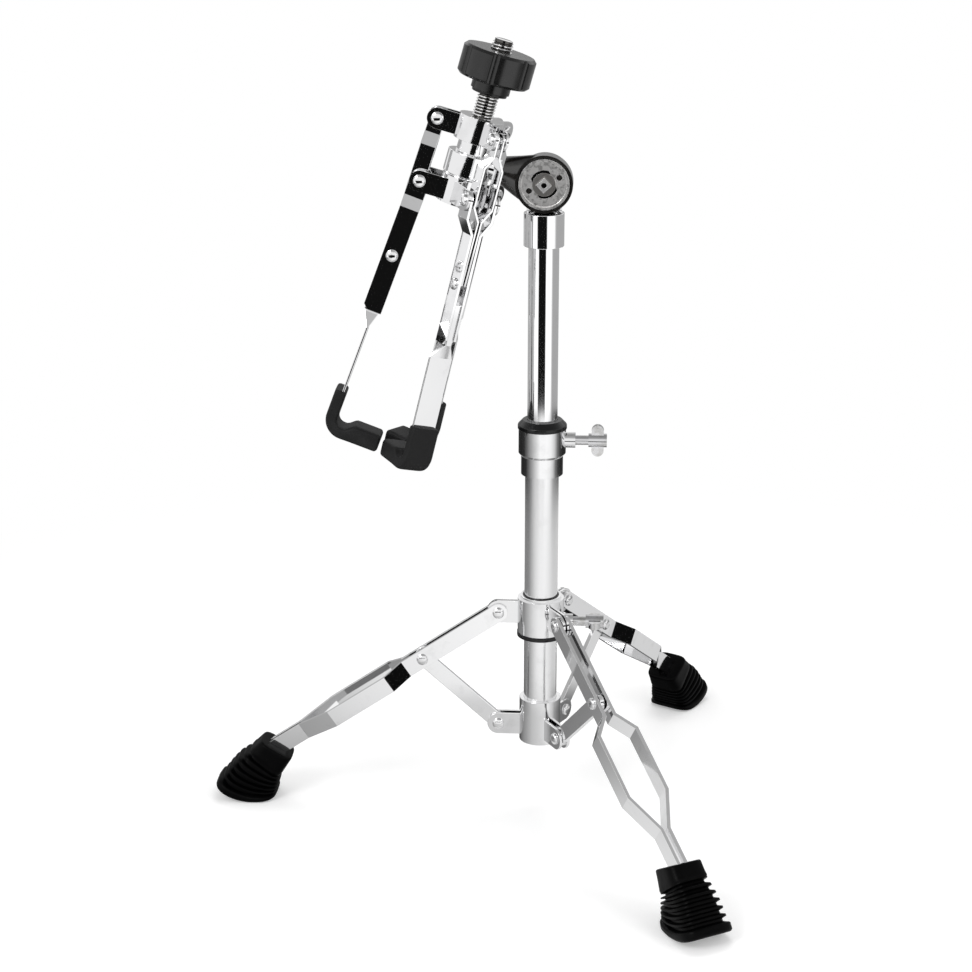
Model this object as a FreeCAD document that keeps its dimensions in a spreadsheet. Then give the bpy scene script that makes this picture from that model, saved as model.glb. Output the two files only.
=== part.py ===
import FreeCAD, Part
import math
import os
import re
import Sketcher
from FreeCAD import Placement, Rotation, Vector

# Snare drum stand with its basket folded and turned over beside the mast.
# Origin on the floor under the tube axis, +Z up, +X to the tilter's right, front towards -Y.

os.makedirs("parts", exist_ok=True)
doc = FreeCAD.newDocument("SnareStand")
sheet = doc.addObject("Spreadsheet::Sheet", "Dims")

# Driving dimensions in millimetres and degrees
dimensions = {
    # tubes
    "base_tube_od": 28.6,
    "base_tube_wall": 1.2,
    "base_tube_low": 61,
    "base_tube_high": 325,
    "mast_od": 25.4,
    "mast_wall": 1.5,
    "mast_length": 348,
    "mast_gap": 5,
    # fits shared by all moving pieces
    "run_fit": 0.05,
    "side_fit": 0.3,
    "overrun": 3,
    # tripod rivets
    "pin_od": 6,
    "pin_head_od": 10,
    "pin_head_height": 2.6,
    # bottom hub
    "hub_od": 36,
    "hub_height": 40,
    "brace_pivot_rise": 14.4,
    "tripod_pivot_radius": 36.5,
    "hub_ear_depth": 19,
    "hub_ear_plate": 2.5,
    # sliding leg collar
    "leg_collar_od": 40,
    "leg_collar_drop": 17.2,
    "leg_collar_rise": 13.8,
    "leg_pivot_height": 180.2,
    "leg_ear_depth": 20,
    "leg_ear_slot": 1.6,
    "leg_bush_wall": 1.3,
    "leg_flange_od": 41,
    "leg_flange_height": 4,
    "leg_lip_od": 35.6,
    "leg_lip_height": 2.4,
    "leg_ring_height": 0.7,
    "leg_screw_drop": 8.2,
    # legs and braces
    "leg_link": 80.3,
    "leg_length": 249,
    "leg_spread_angle": 55.9,
    "bar_depth": 15.5,
    "bar_thick": 3,
    "bar_gap": 6.2,
    "bow_gap": 32.5,
    "knee_lead": 17.7,
    "leg_end_gap": 3.4,
    "brace_depth": 14,
    "brace_thick": 4,
    # rubber feet
    "foot_grip": 11.5,
    "foot_mouth_depth": 27,
    "foot_mouth_width": 27,
    "foot_sole_depth": 46,
    "foot_sole_width": 38,
    "foot_lean_angle": 31.5,
    "foot_sole_radius": 42,
    "foot_sole_sink": 0.7,
    "foot_fin_proud": 3,
    "foot_collar_proud": 2.2,
    # height collar and its nylon bush
    "height_collar_grip": 18.7,
    "height_collar_od": 35.5,
    "height_collar_rise": 21,
    "height_collar_top_od": 40,
    "height_collar_lip": 2.5,
    "height_bush_od": 33,
    "height_flange_od": 41.5,
    "height_flange_height": 8,
    # wing screws
    "screw_od": 8,
    "screw_boss_od": 13,
    "screw_boss_length": 8,
    "screw_pad_od": 7,
    "screw_pad_thick": 1.6,
    "wing_stand_off": 11,
    "wing_length": 15.5,
    "wing_span": 27,
    "wing_thick": 5.5,
    "wing_hub_od": 11.5,
    # tilter
    "tilter_height": 554,
    "tilter_arm_length": 63,
    "basket_lean_angle": 16,
    "tilter_disc_od": 47,
    "tilter_disc_front": 11,
    "tilter_disc_back": 6,
    "tilter_rim_width": 1.8,
    "tilter_rim_depth": 3,
    "tilter_cone_od": 23,
    "tilter_gap": 1,
    "friction_disc_od": 40,
    "friction_disc_thick": 2,
    "tilter_base_od": 44,
    "tilter_base_thick": 9,
    "cap_od": 41.4,
    "cap_thick": 4,
    "cap_rim_width": 2.2,
    "cap_recess": 1.8,
    "cap_boss_od": 19,
    "cap_hole_od": 4.8,
    "cap_hole_radius": 13.4,
    "cap_hole_angle": 24,
    "cap_arc_width": 2,
    "cap_arc_depth": 1.4,
    "cap_arc_span": 16,
    "sleeve_od": 33.4,
    "sleeve_length": 27.5,
    "bolt_od": 8,
    "bolt_head_width": 9,
    "bolt_head_height": 4,
    "bolt_head_angle": 48,
    "bolt_socket_od": 4.6,
    "bolt_tail": 16,
    "washer_od": 20,
    "washer_thick": 2.5,
    "ferrule_od": 21.5,
    "ferrule_length": 8,
    # basket hub, rod and knob, measured along the basket axis from the tilter stem
    "rod_od": 17.5,
    "rod_end": 9,
    "rod_thread_pitch": 2.5,
    "block_od": 39,
    "block_rise": 6,
    "block_drop": 12,
    "neck_od": 27,
    "neck_rise": 9.8,
    "hub_seat_od": 34,
    "hub_seat_height": 2,
    "arm_collar_od": 38,
    "arm_collar_height": 22,
    "spread_collar_od": 37,
    "spread_collar_gap": 0.4,
    "spread_collar_height": 20,
    "basket_pivot_radius": 34.5,
    "ear_depth": 17,
    "ear_plate": 2,
    "rivet_od": 5,
    "rivet_head_od": 10,
    "rivet_head_height": 2.6,
    "set_screw_od": 6,
    "set_screw_length": 6,
    "set_screw_proud": 1.2,
    "set_screw_socket": 3,
    "knob_rise": 79,
    "knob_od": 60,
    "knob_height": 25,
    "knob_hub_od": 32,
    "knob_hub_length": 8,
    "knob_flute_od": 8,
    "knob_flute_depth": 1.8,
    "knob_rest_angle": -92,
    "knob_edge": 2.2,
    "knob_washer_od": 29,
    "knob_washer_thick": 2.5,
    # basket arms, measured along the arm from its pivot
    "arm_link": 68,
    "arm_fold_angle": 4.73,
    "link_depth": 13,
    "link_thick": 2,
    "link_top_gap": 3.2,
    "link_wide_gap": 14.4,
    "link_end_gap": 1,
    "link_flare_start": 13,
    "link_flare_end": 23,
    "link_close_start": 55,
    "link_close_end": 66,
    "arm_bar_depth": 16,
    "arm_bar_thick": 2.2,
    "arm_top_gap": 20.2,
    "arm_end_gap": 5.6,
    "arm_close_start": 14,
    "arm_close_end": 26,
    "arm_bar_length": 118,
    "arm_bar_corner": 4,
    "blade_lead": 16,
    "blade_depth": 13,
    "crimp_lead": 0.5,
    "crimp_length": 12.5,
    "strip_width": 21,
    "strip_thick": 1.9,
    "strip_offset": 1.5,
    "boot_height": 40.5,
    "boot_end": 231,
    "boot_wall": 10,
    "boot_outside": 5.5,
    "boot_width": 24,
    "boot_foot": 13.5,
    "boot_reach": 45,
    "boot_corner": 13,
    "boot_heel": 6,
    "boot_toe": 5,
}

fin_count = 6
flute_count = 7
leg_azimuths = (180, -60, 60)
arm_azimuths = (180, -60, 60)
wing_lobe_share = 0.19
dome_shares = ((1, 0), (1, 0.25), (0.9, 0.58), (0.68, 0.83), (0.36, 0.97), (0, 1))
fin_first_share = 0.1
fin_last_share = 0.68
fin_rise_share = 0.85
foot_collar_share = 0.72
foot_round_share = 0.88
cone_mouth_share = 0.455
screw_height_share = 0.524
flange_step_share = 0.45
arm_pivot_share = 0.5136
bow_full_share = 0.1126
bow_narrow_share = 0.5099
bow_close_share = 0.7318

# Sizes that follow from the driving ones
bow_run = "(leg_length - leg_link - knee_lead)"
derived = {
    "brace_pivot_height": "base_tube_low + brace_pivot_rise",
    "leg_collar_low": "leg_pivot_height - leg_collar_drop",
    "leg_collar_high": "leg_pivot_height + leg_collar_rise",
    "leg_screw_height": "leg_pivot_height - leg_screw_drop",
    "pivot_spacing": "leg_pivot_height - brace_pivot_height",
    "brace_length": "sqrt(leg_link^2 + pivot_spacing^2"
                    " - 2 * leg_link * pivot_spacing * cos(leg_spread_angle))",
    "bow_start": "leg_link + knee_lead",
    "bow_full": "bow_start + %s * %s" % (bow_full_share, bow_run),
    "bow_narrow": "bow_start + %s * %s" % (bow_narrow_share, bow_run),
    "bow_close": "bow_start + %s * %s" % (bow_close_share, bow_run),
    "foot_mouth_at": "leg_length - foot_grip",
    "height_collar_low": "base_tube_high - height_collar_grip",
    "height_collar_top": "base_tube_high + height_collar_rise",
    "height_screw_height": "base_tube_high + %s * height_collar_rise" % screw_height_share,
    "sleeve_high": "tilter_height - tilter_disc_od / 2 - tilter_gap",
    "sleeve_low": "sleeve_high - sleeve_length",
    "mast_high": "sleeve_high - mast_gap",
    "mast_low": "mast_high - mast_length",
    "neck_top": "block_rise + neck_rise",
    "arm_collar_top": "block_drop + hub_seat_height",
    "arm_pivot_drop": "arm_collar_top + %s * arm_collar_height" % arm_pivot_share,
    "spread_collar_low": "neck_top + spread_collar_gap",
    "link_pivot_rise": "spread_collar_low + spread_collar_height / 2",
    "rod_top": "knob_rise + knob_height / 2 + rod_end",
    "collar_spacing": "link_pivot_rise + arm_pivot_drop",
    "link_length": "sqrt(arm_link^2 + collar_spacing^2"
                   " + 2 * arm_link * collar_spacing * cos(arm_fold_angle))",
    "blade_start": "arm_link + blade_lead",
    "crimp_start": "arm_bar_length + crimp_lead",
    "crimp_end": "crimp_start + crimp_length",
    "boot_top": "boot_end - boot_height",
}

cells = [(name, str(value)) for name, value in dimensions.items()]
cells += [(name, "=" + text) for name, text in derived.items()]
for row, (name, content) in enumerate(cells, 1):
    sheet.set("A%d" % row, name)
    sheet.setAlias("B%d" % row, name)
    sheet.set("B%d" % row, content)
doc.recompute()

sub_parts = {}


def linked(text):
    """The expression with every sheet alias written as a reference to its cell."""
    def reference(match):
        word = match.group(0)
        return "Dims." + word if word in dimensions or word in derived else word
    return re.sub(r"[a-z_][a-z_0-9]*", reference, text)


def size(text):
    return float(sheet.evalExpression(text))


def bind(item, **sizes):
    for field, text in sizes.items():
        item.setExpression(field, linked(text))
    return item


def keep(label, item, place=None):
    """Names a finished sub-part and puts it in its place."""
    item.Label = label
    if place is not None:
        item.Placement = place
    sub_parts[label] = item
    return item


# Placements

def shift(x=0, y=0, z=0):
    return Placement(Vector(x, y, z), Rotation())


def turn_about(axis, angle):
    return Placement(Vector(), Rotation(axis, angle))


axis_x = Vector(1, 0, 0)
axis_y = Vector(0, 1, 0)
axis_z = Vector(0, 0, 1)
lay_along_x = turn_about(axis_y, 90)
lay_along_y = turn_about(axis_x, -90)


# Basic solids

def cylinder(name, diameter, length, place=shift()):
    item = doc.addObject("Part::Cylinder", name)
    bind(item, Radius="(%s) / 2" % diameter, Height=length)
    item.Placement = place
    return item


def box(name, length, width, height, place=shift()):
    item = doc.addObject("Part::Box", name)
    bind(item, Length=length, Width=width, Height=height)
    item.Placement = place
    return item


def fuse(name, items):
    item = doc.addObject("Part::MultiFuse", name)
    item.Shapes = items
    return item


def cut(name, base, tools):
    item = doc.addObject("Part::Cut", name)
    item.Base = base
    item.Tool = tools[0] if len(tools) == 1 else fuse(name + "_tools", tools)
    return item


def common(name, first, second):
    item = doc.addObject("Part::Common", name)
    item.Base = first
    item.Tool = second
    return item


def group(name, items):
    item = doc.addObject("Part::Compound", name)
    item.Links = items
    return item


def draw(sketch, points, closed):
    """A polyline whose corners are tied to the sheet, each corner a pair of expressions."""
    corners = [Vector(size(x), size(y), 0) for x, y in points]
    ends = corners[1:] + corners[:1] if closed else corners[1:]
    for start, end in zip(corners, ends):
        sketch.addGeometry(Part.LineSegment(start, end), False)
    last = len(ends) - 1
    for edge in range(last):
        sketch.addConstraint(Sketcher.Constraint("Coincident", edge, 2, edge + 1, 1))
    if closed:
        sketch.addConstraint(Sketcher.Constraint("Coincident", last, 2, 0, 1))
    for index, (x, y) in enumerate(points):
        edge, end = (index, 1) if index <= last else (last, 2)
        for kind, text in (("DistanceX", x), ("DistanceY", y)):
            rule = Sketcher.Constraint(kind, -1, 1, edge, end, size(text))
            number = sketch.addConstraint(rule)
            sketch.setExpression("Constraints[%d]" % number, linked(text))


def body_sketch(name, role, points):
    """A body with one closed outline on one of its own planes."""
    body = doc.addObject("PartDesign::Body", name)
    plane = [item for item in body.Origin.OriginFeatures if item.Role == role][0]
    sketch = body.newObject("Sketcher::SketchObject", name + "_outline")
    sketch.AttachmentSupport = [(plane, "")]
    sketch.MapMode = "FlatFace"
    draw(sketch, points, True)
    return body, sketch


def turned(name, profile, place=shift()):
    """A body turned about Z from a profile of radius and height expressions."""
    body, sketch = body_sketch(name, "XZ_Plane", profile)
    feature = body.newObject("PartDesign::Revolution", name + "_turned")
    feature.Profile = sketch
    feature.ReferenceAxis = (sketch, ["V_Axis"])
    feature.Angle = 360
    body.Placement = place
    return body


def ring(inner, outer, low, high):
    """Profile of a plain tube or ring given by diameters and heights."""
    inside, outside = "(%s) / 2" % inner, "(%s) / 2" % outer
    return [(inside, low), (outside, low), (outside, high), (inside, high)]


def flat_path(name, points, place):
    sketch = doc.addObject("Sketcher::SketchObject", name)
    draw(sketch, points, False)
    sketch.Placement = place
    return sketch


def rectangle(name, depth, width, place):
    """A free rectangle centred on its own origin."""
    sketch = doc.addObject("Sketcher::SketchObject", name)
    x, y = "(%s) / 2" % depth, "(%s) / 2" % width
    minus_x, minus_y = "-" + x, "-" + y
    draw(sketch, [(minus_x, minus_y), (x, minus_y), (x, y), (minus_x, y)], True)
    sketch.Placement = place
    return sketch


def bent_bar(name, stations, depth, thick, side, holes, hole_od):
    """A flat bar bent to the stations of its path, with a round pivot end and holes.

    Each station is a distance down the bar and the clear gap to its twin there.
    """
    sign = "" if side > 0 else "-"
    path_points = [(along, "%s((%s + %s) / 2)" % (sign, gap, thick)) for along, gap in stations]
    path = flat_path(name + "_path", path_points, turn_about(axis_y, 90))
    offset = size(path_points[0][1])
    section = rectangle(name + "_section", depth, thick, shift(y=offset))
    sweep = doc.addObject("Part::Sweep", name + "_sweep")
    sweep.Sections = [section]
    sweep.Spine = (path, ["Edge%d" % edge for edge in range(1, len(stations))])
    sweep.Solid = True
    sweep.Frenet = False
    sweep.Transition = "Right corner"
    start = shift(y=offset - size(thick) / 2) * lay_along_y
    end = cylinder(name + "_end", depth, thick, start)
    tools = []
    for number, (along, gap) in enumerate(holes):
        side_place = side * (size(gap) + size(thick)) / 2 - size(thick) / 2 - size("overrun")
        place = shift(y=side_place, z=-size(along)) * lay_along_y
        tools.append(cylinder("%s_hole_%d" % (name, number), hole_od, thick + " + 2 * overrun", place))
    return cut(name, fuse(name + "_blank", [sweep, end]), tools)


def dome(head_od, head_height, base, sign):
    """Profile of a domed rivet head from its rim to its crown, rising or falling from a base height."""
    return [("%s * (%s) / 2" % (out, head_od), "%s %s %s * %s" % (base, sign, up, head_height))
            for out, up in dome_shares]


def rivet(name, shank_od, head_od, head_height, low, high, place):
    """A round-headed rivet along Z, its shank between two heights, with a head at each end."""
    shank = "%s / 2" % shank_od
    profile = dome(head_od, head_height, low, "-")[::-1] + [(shank, low), (shank, high)]
    return turned(name, profile + dome(head_od, head_height, high, "+"), place)


def half_rivet(name, shank_od, head_od, head_height, low, high, place):
    """A rivet with one head, at the high end."""
    shank = "%s / 2" % shank_od
    profile = [("0", low), (shank, low), (shank, high)]
    return turned(name, profile + dome(head_od, head_height, high, "+"), place)


def eared_collar(name, sleeve, azimuths, radius, height, depth, plate, gap, hole_od, root):
    """A sleeve with a pair of round-ended ear plates at each azimuth, drilled for the pivots."""
    solids = [sleeve]
    holes = []
    for number, azimuth in enumerate(azimuths, 1):
        spin = turn_about(axis_z, azimuth)
        for side in (-1, 1):
            tag = "%s_ear_%d_%s" % (name, number, "left" if side > 0 else "right")
            face = side * (size(gap) + size(plate)) / 2 - size(plate) / 2
            low = size(height) - size(depth) / 2
            web = spin * shift(size(root), face, low)
            length = "%s - %s" % (radius, root)
            solids.append(box(tag + "_web", length, plate, depth, web))
            round_end = spin * shift(size(radius), face, size(height)) * lay_along_y
            solids.append(cylinder(tag + "_end", depth, plate, round_end))
        reach = "%s + 2 * %s + 2 * overrun" % (gap, plate)
        across = spin * shift(size(radius), -size(reach) / 2, size(height)) * lay_along_y
        holes.append(cylinder("%s_pivot_%d" % (name, number), hole_od, reach, across))
    return cut(name, fuse(name + "_blank", solids), holes)


def wing(name, start, bore=None):
    """Wing head along X from a start distance: a hub with two round lobes and a web."""
    begin = size(start)
    lobe = "%s * wing_span" % (2 * wing_lobe_share)
    middle = begin + size("wing_length") / 2
    reach = "wing_span - " + lobe
    head = [cylinder(name + "_hub", "wing_hub_od", "wing_length", shift(x=begin) * lay_along_x)]
    half = size("wing_thick") / 2
    web = shift(middle - size(lobe) / 2, -half, -size(reach) / 2)
    head.append(box(name + "_web", lobe, "wing_thick", reach, web))
    for side in (-1, 1):
        spot = shift(middle, -half, side * size(reach) / 2) * lay_along_y
        head.append(cylinder("%s_lobe_%d" % (name, side + 2), lobe, "wing_thick", spot))
    if bore is not None:
        hole = shift(x=begin - size("overrun")) * lay_along_x
        deep = "wing_length + 2 * overrun"
        return cut(name, fuse(name + "_blank", head), [cylinder(name + "_bore", bore, deep, hole)])
    return head


# Tripod linkage, solved in the plane of one leg

pivot_r = size("tripod_pivot_radius")
pivot_drop = size("pivot_spacing")


def linkage_angles(upper, lower, spacing):
    """Angles from straight down of the upper and lower links whose free ends meet."""
    at_top = (upper ** 2 + spacing ** 2 - lower ** 2) / (2 * upper * spacing)
    at_foot = (lower ** 2 + spacing ** 2 - upper ** 2) / (2 * lower * spacing)
    return math.degrees(math.acos(at_top)), math.degrees(math.acos(at_foot))


leg_angle, brace_angle = linkage_angles(size("leg_link"), size("brace_length"), pivot_drop)


# Base: tube, bottom hub, height collar

keep("base_tube", turned("base_tube", ring(
    "base_tube_od - 2 * base_tube_wall", "base_tube_od", "base_tube_low", "base_tube_high")))

hub_sleeve = turned("hub_sleeve", ring(
    "base_tube_od", "hub_od", "base_tube_low", "base_tube_low + hub_height"))
keep("base_hub", eared_collar(
    "base_hub", hub_sleeve, leg_azimuths, "tripod_pivot_radius", "brace_pivot_height",
    "hub_ear_depth", "hub_ear_plate", "brace_thick + 2 * side_fit", "pin_od",
    "(base_tube_od + hub_od) / 4"))

ear_face = "brace_thick / 2 + side_fit + hub_ear_plate"
hub_pins = []
for number, azimuth in enumerate(leg_azimuths, 1):
    spot = turn_about(axis_z, azimuth) * shift(pivot_r, 0, size("brace_pivot_height")) * lay_along_y
    hub_pins.append(rivet("brace_rivet_%d" % number, "pin_od", "pin_head_od", "pin_head_height",
                          "-(%s)" % ear_face, ear_face, spot))
keep("brace_rivets", group("brace_rivets", hub_pins))

collar_profile = [
    ("base_tube_od / 2", "height_collar_low"),
    ("height_collar_od / 2", "height_collar_low"),
    ("height_collar_od / 2", "base_tube_high - height_collar_lip"),
    ("height_collar_top_od / 2", "base_tube_high"),
    ("height_collar_top_od / 2", "height_collar_top"),
    ("height_bush_od / 2 + run_fit", "height_collar_top"),
    ("height_bush_od / 2 + run_fit", "base_tube_high"),
    ("base_tube_od / 2", "base_tube_high"),
]
collar_wall = turned("height_collar_wall", collar_profile)
boss_spot = shift(z=size("height_screw_height")) * lay_along_x
collar_boss_length = "height_collar_top_od / 2 + screw_boss_length"
collar_boss = cylinder("height_boss", "screw_boss_od", collar_boss_length, boss_spot)
collar_bore = cylinder("height_collar_core", "height_bush_od + 2 * run_fit",
                       "height_collar_top - base_tube_high", shift(z=size("base_tube_high")))
screw_hole = cylinder("height_screw_hole", "screw_od + 2 * run_fit",
                      collar_boss_length + " + overrun", boss_spot)
keep("height_collar", cut("height_collar", fuse("height_collar_blank", [collar_wall, collar_boss]),
                          [collar_bore, screw_hole]))

bush_profile = [
    ("mast_od / 2 + run_fit", "base_tube_high + side_fit"),
    ("height_bush_od / 2", "base_tube_high + side_fit"),
    ("height_bush_od / 2", "height_collar_top"),
    ("height_flange_od / 2", "height_collar_top"),
    ("height_flange_od / 2", "height_collar_top + %s * height_flange_height" % flange_step_share),
    ("height_bush_od / 2", "height_collar_top + height_flange_height"),
    ("mast_od / 2 + run_fit", "height_collar_top + height_flange_height"),
]
keep("height_bush", turned("height_bush", bush_profile))


def clamp_screw(pad_label, screw_label, seat, boss_end, height, roll):
    """A pressure pad and the wing screw behind it, along +X at one height."""
    pad_start = seat + " + side_fit"
    lift = shift(z=size(height))
    pad = cylinder(pad_label, "screw_pad_od", "screw_pad_thick")
    keep(pad_label, pad, lift * shift(x=size(pad_start)) * lay_along_x)
    tip = pad_start + " + screw_pad_thick"
    head_start = boss_end + " + wing_stand_off"
    shank_length = "%s - (%s) + wing_length / 2" % (head_start, tip)
    shank = cylinder(screw_label + "_shank", "screw_od", shank_length, shift(x=size(tip)) * lay_along_x)
    screw = fuse(screw_label, [shank] + wing(screw_label, head_start))
    keep(screw_label, screw, lift * turn_about(axis_x, roll))


clamp_screw("height_pad", "height_wing_screw", "height_bush_od / 2",
            "height_collar_top_od / 2 + screw_boss_length", "height_screw_height", 0)


# Sliding leg collar with its nylon bush

leg_bush_od = "base_tube_od + 2 * run_fit + 2 * leg_bush_wall"
leg_lip_top = "leg_collar_high + leg_lip_height"
leg_sleeve = turned("leg_sleeve", [
    ("(%s) / 2" % leg_bush_od, "leg_collar_low"),
    ("leg_collar_od / 2", "leg_collar_low"),
    ("leg_collar_od / 2", "leg_collar_high"),
    ("leg_lip_od / 2", "leg_collar_high"),
    ("leg_lip_od / 2", leg_lip_top),
    ("(%s) / 2" % leg_bush_od, leg_lip_top),
])
leg_ear_plate = "(bar_gap - 2 * side_fit - leg_ear_slot) / 2"
leg_eared = eared_collar(
    "leg_collar_eared", leg_sleeve, leg_azimuths, "tripod_pivot_radius", "leg_pivot_height",
    "leg_ear_depth", leg_ear_plate, "leg_ear_slot", "pin_od",
    "(%s + leg_collar_od) / 4" % leg_bush_od)
leg_boss_length = "leg_collar_od / 2 + screw_boss_length"
leg_boss_spot = shift(z=size("leg_screw_height")) * lay_along_x
leg_boss = cylinder("leg_boss", "screw_boss_od", leg_boss_length, leg_boss_spot)
leg_core = cylinder("leg_collar_core", leg_bush_od, "leg_collar_high - leg_collar_low",
                    shift(z=size("leg_collar_low")))
leg_screw_hole = cylinder("leg_screw_hole", "screw_od + 2 * run_fit",
                          leg_boss_length + " + overrun", leg_boss_spot)
keep("leg_collar", cut("leg_collar", fuse("leg_collar_blank", [leg_eared, leg_boss]),
                       [leg_core, leg_screw_hole]))

bush_inside = "base_tube_od / 2 + run_fit"
leg_bush_profile = [
    (bush_inside, "leg_collar_low - leg_flange_height"),
    ("leg_flange_od / 2", "leg_collar_low - leg_flange_height"),
    ("leg_flange_od / 2", "leg_collar_low"),
    ("(%s) / 2" % leg_bush_od, "leg_collar_low"),
    ("(%s) / 2" % leg_bush_od, leg_lip_top + " + leg_ring_height"),
    (bush_inside, leg_lip_top + " + leg_ring_height"),
]
keep("leg_collar_bush", turned("leg_collar_bush", leg_bush_profile))
clamp_screw("leg_pad", "leg_wing_screw", "(%s) / 2" % leg_bush_od,
            "leg_collar_od / 2 + screw_boss_length", "leg_screw_height", 90)

bar_face = "bar_gap / 2 + bar_thick + side_fit / 2"
leg_pins = []
for number, azimuth in enumerate(leg_azimuths, 1):
    spot = turn_about(axis_z, azimuth) * shift(pivot_r, 0, size("leg_pivot_height")) * lay_along_y
    leg_pins.append(rivet("leg_rivet_%d" % number, "pin_od", "pin_head_od", "pin_head_height",
                          "-(%s)" % bar_face, bar_face, spot))
keep("leg_rivets", group("leg_rivets", leg_pins))


# Legs, feet and braces

leg_stations = [
    ("0", "bar_gap"),
    ("bow_start", "bar_gap"),
    ("bow_full", "bow_gap"),
    ("bow_narrow", "bow_gap"),
    ("bow_close", "leg_end_gap"),
    ("leg_length", "leg_end_gap"),
]


def rubber_foot(name, leg_place):
    """Finned rubber foot in the plane of one leg, round at the corners, with a small flat on its curved sole."""
    mouth = leg_place.multVec(Vector(0, 0, -size("foot_mouth_at")))
    lean = math.radians(size("foot_lean_angle"))
    tall = mouth.z / math.cos(lean)
    sole = Vector(mouth.x + mouth.z * math.tan(lean), 0, 0)
    upright = Placement(sole, Rotation(axis_y, -size("foot_lean_angle")) * Rotation(axis_x, 90))
    depths = (size("foot_sole_depth"), size("foot_mouth_depth"))
    widths = (size("foot_sole_width"), size("foot_mouth_width"))

    def half(pair, share):
        return (pair[0] + (pair[1] - pair[0]) * share) / 2

    def wedge(tag, low, high, low_proud, high_proud):
        item = doc.addObject("Part::Wedge", name + tag)
        item.Ymin, item.Ymax = low * tall, high * tall
        item.Xmax, item.Zmax = half(depths, low) + low_proud, half(widths, low) + low_proud
        item.X2max, item.Z2max = half(depths, high) + high_proud, half(widths, high) + high_proud
        item.Xmin, item.Zmin = -item.Xmax, -item.Zmax
        item.X2min, item.Z2min = -item.X2max, -item.Z2max
        item.Placement = upright
        return item

    proud = size("foot_fin_proud")
    collar = size("foot_collar_proud")
    below = -size("foot_sole_depth") / 2 * math.sin(lean) / tall
    solids = [wedge("_core", below, 1, 0, 0)]
    solids.append(wedge("_sole", below, fin_first_share / 2, proud, proud))
    step = (fin_last_share - fin_first_share) / fin_count
    for fin in range(fin_count):
        low = fin_first_share + fin * step
        solids.append(wedge("_fin_%d" % fin, low, low + fin_rise_share * step, proud, 0))
    solids.append(wedge("_collar", foot_collar_share, 1, collar, collar))
    blank = fuse(name + "_blank", solids)
    radius = "foot_sole_radius"
    centre = Vector(sole.x, -size("foot_sole_width"), size(radius) - size("foot_sole_sink"))
    roll = Placement(centre, Rotation()) * lay_along_y
    rocker = cylinder(name + "_rocker", "2 * " + radius, "2 * foot_sole_width", roll)
    upper_spot = shift(sole.x - size("leg_length"), -size("foot_sole_width"), centre.z)
    upper = box(name + "_upper", "2 * leg_length", "2 * foot_sole_width", "leg_length", upper_spot)
    rocked = common(name + "_rocked", blank, fuse(name + "_bounds", [rocker, upper]))
    barrel = doc.addObject("Part::Cone", name + "_barrel")
    corners = [foot_round_share * math.hypot(half(depths, share) + proud, half(widths, share) + proud)
               for share in (below, 1)]
    barrel.Radius1, barrel.Radius2 = corners
    barrel.Height = (1 - below) * tall
    barrel.Placement = Placement(sole, Rotation(axis_y, -size("foot_lean_angle"))) * shift(z=below * tall)
    shaped = common(name + "_shaped", rocked, barrel)
    pair = "leg_end_gap + 2 * bar_thick"
    slot_length = "leg_length - foot_mouth_at + 4 * overrun"
    slot_spot = leg_place * shift(-size("bar_depth") / 2, -size(pair) / 2, -size("leg_length"))
    slot = box(name + "_slot", "bar_depth", pair, slot_length, slot_spot)
    ground_spot = shift(sole.x - size("foot_sole_depth"), -size("foot_sole_width"), -size("overrun"))
    ground = box(name + "_ground", "2 * foot_sole_depth", "2 * foot_sole_width", "overrun", ground_spot)
    return cut(name, shaped, [slot, ground])


leg_place = shift(pivot_r, 0, size("leg_pivot_height")) * turn_about(axis_y, -leg_angle)
brace_lift = brace_angle - 180
brace_place = shift(pivot_r, 0, size("brace_pivot_height")) * turn_about(axis_y, brace_lift)

for number, azimuth in enumerate(leg_azimuths, 1):
    spin = turn_about(axis_z, azimuth)
    leg = "leg_%d" % number
    for side, word in ((1, "left"), (-1, "right")):
        label = "%s_bar_%s" % (leg, word)
        bar = bent_bar(label, leg_stations, "bar_depth", "bar_thick", side,
                       [("0", "bar_gap"), ("leg_link", "bar_gap")], "pin_od + 2 * run_fit")
        keep(label, bar, spin * leg_place)
    keep(leg + "_foot", rubber_foot(leg + "_foot", leg_place), spin)
    studs = []
    for side in (1, -1):
        stud_spot = shift(z=-size("leg_link")) * turn_about(axis_x, -90 * side)
        studs.append(half_rivet("%s_knee_stud_%d" % (leg, side + 2), "pin_od", "pin_head_od",
                                "pin_head_height", "bar_gap / 2", "bar_gap / 2 + bar_thick", stud_spot))
    keep(leg + "_knee_rivet", group(leg + "_knee_rivet", studs), spin * leg_place)

    brace = "brace_%d" % number
    flat = box(brace + "_flat", "brace_depth", "brace_thick", "brace_length",
               shift(-size("brace_depth") / 2, -size("brace_thick") / 2, -size("brace_length")))
    ends = [cylinder("%s_end_%d" % (brace, end), "brace_depth", "brace_thick",
                     shift(y=-size("brace_thick") / 2, z=-end * size("brace_length")) * lay_along_y)
            for end in (0, 1)]
    eye = cylinder(brace + "_eye", "pin_od + 2 * run_fit", "brace_thick + 2 * overrun",
                   shift(y=-size("brace_thick") / 2 - size("overrun")) * lay_along_y)
    keep(brace, cut(brace, fuse(brace + "_blank", [flat] + ends), [eye]), spin * brace_place)


# Mast with the fixed half of the tilter

keep("mast_tube", turned("mast_tube", ring(
    "mast_od - 2 * mast_wall", "mast_od", "mast_low", "mast_high")))
keep("tilter_sleeve", turned("tilter_sleeve", ring("mast_od", "sleeve_od", "sleeve_low", "sleeve_high")))

at_tilter = shift(z=size("tilter_height"))
lay_along_minus_y = turn_about(axis_x, 90)
base_front = "tilter_disc_back + friction_disc_thick"
base_back = base_front + " + tilter_base_thick"

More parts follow.
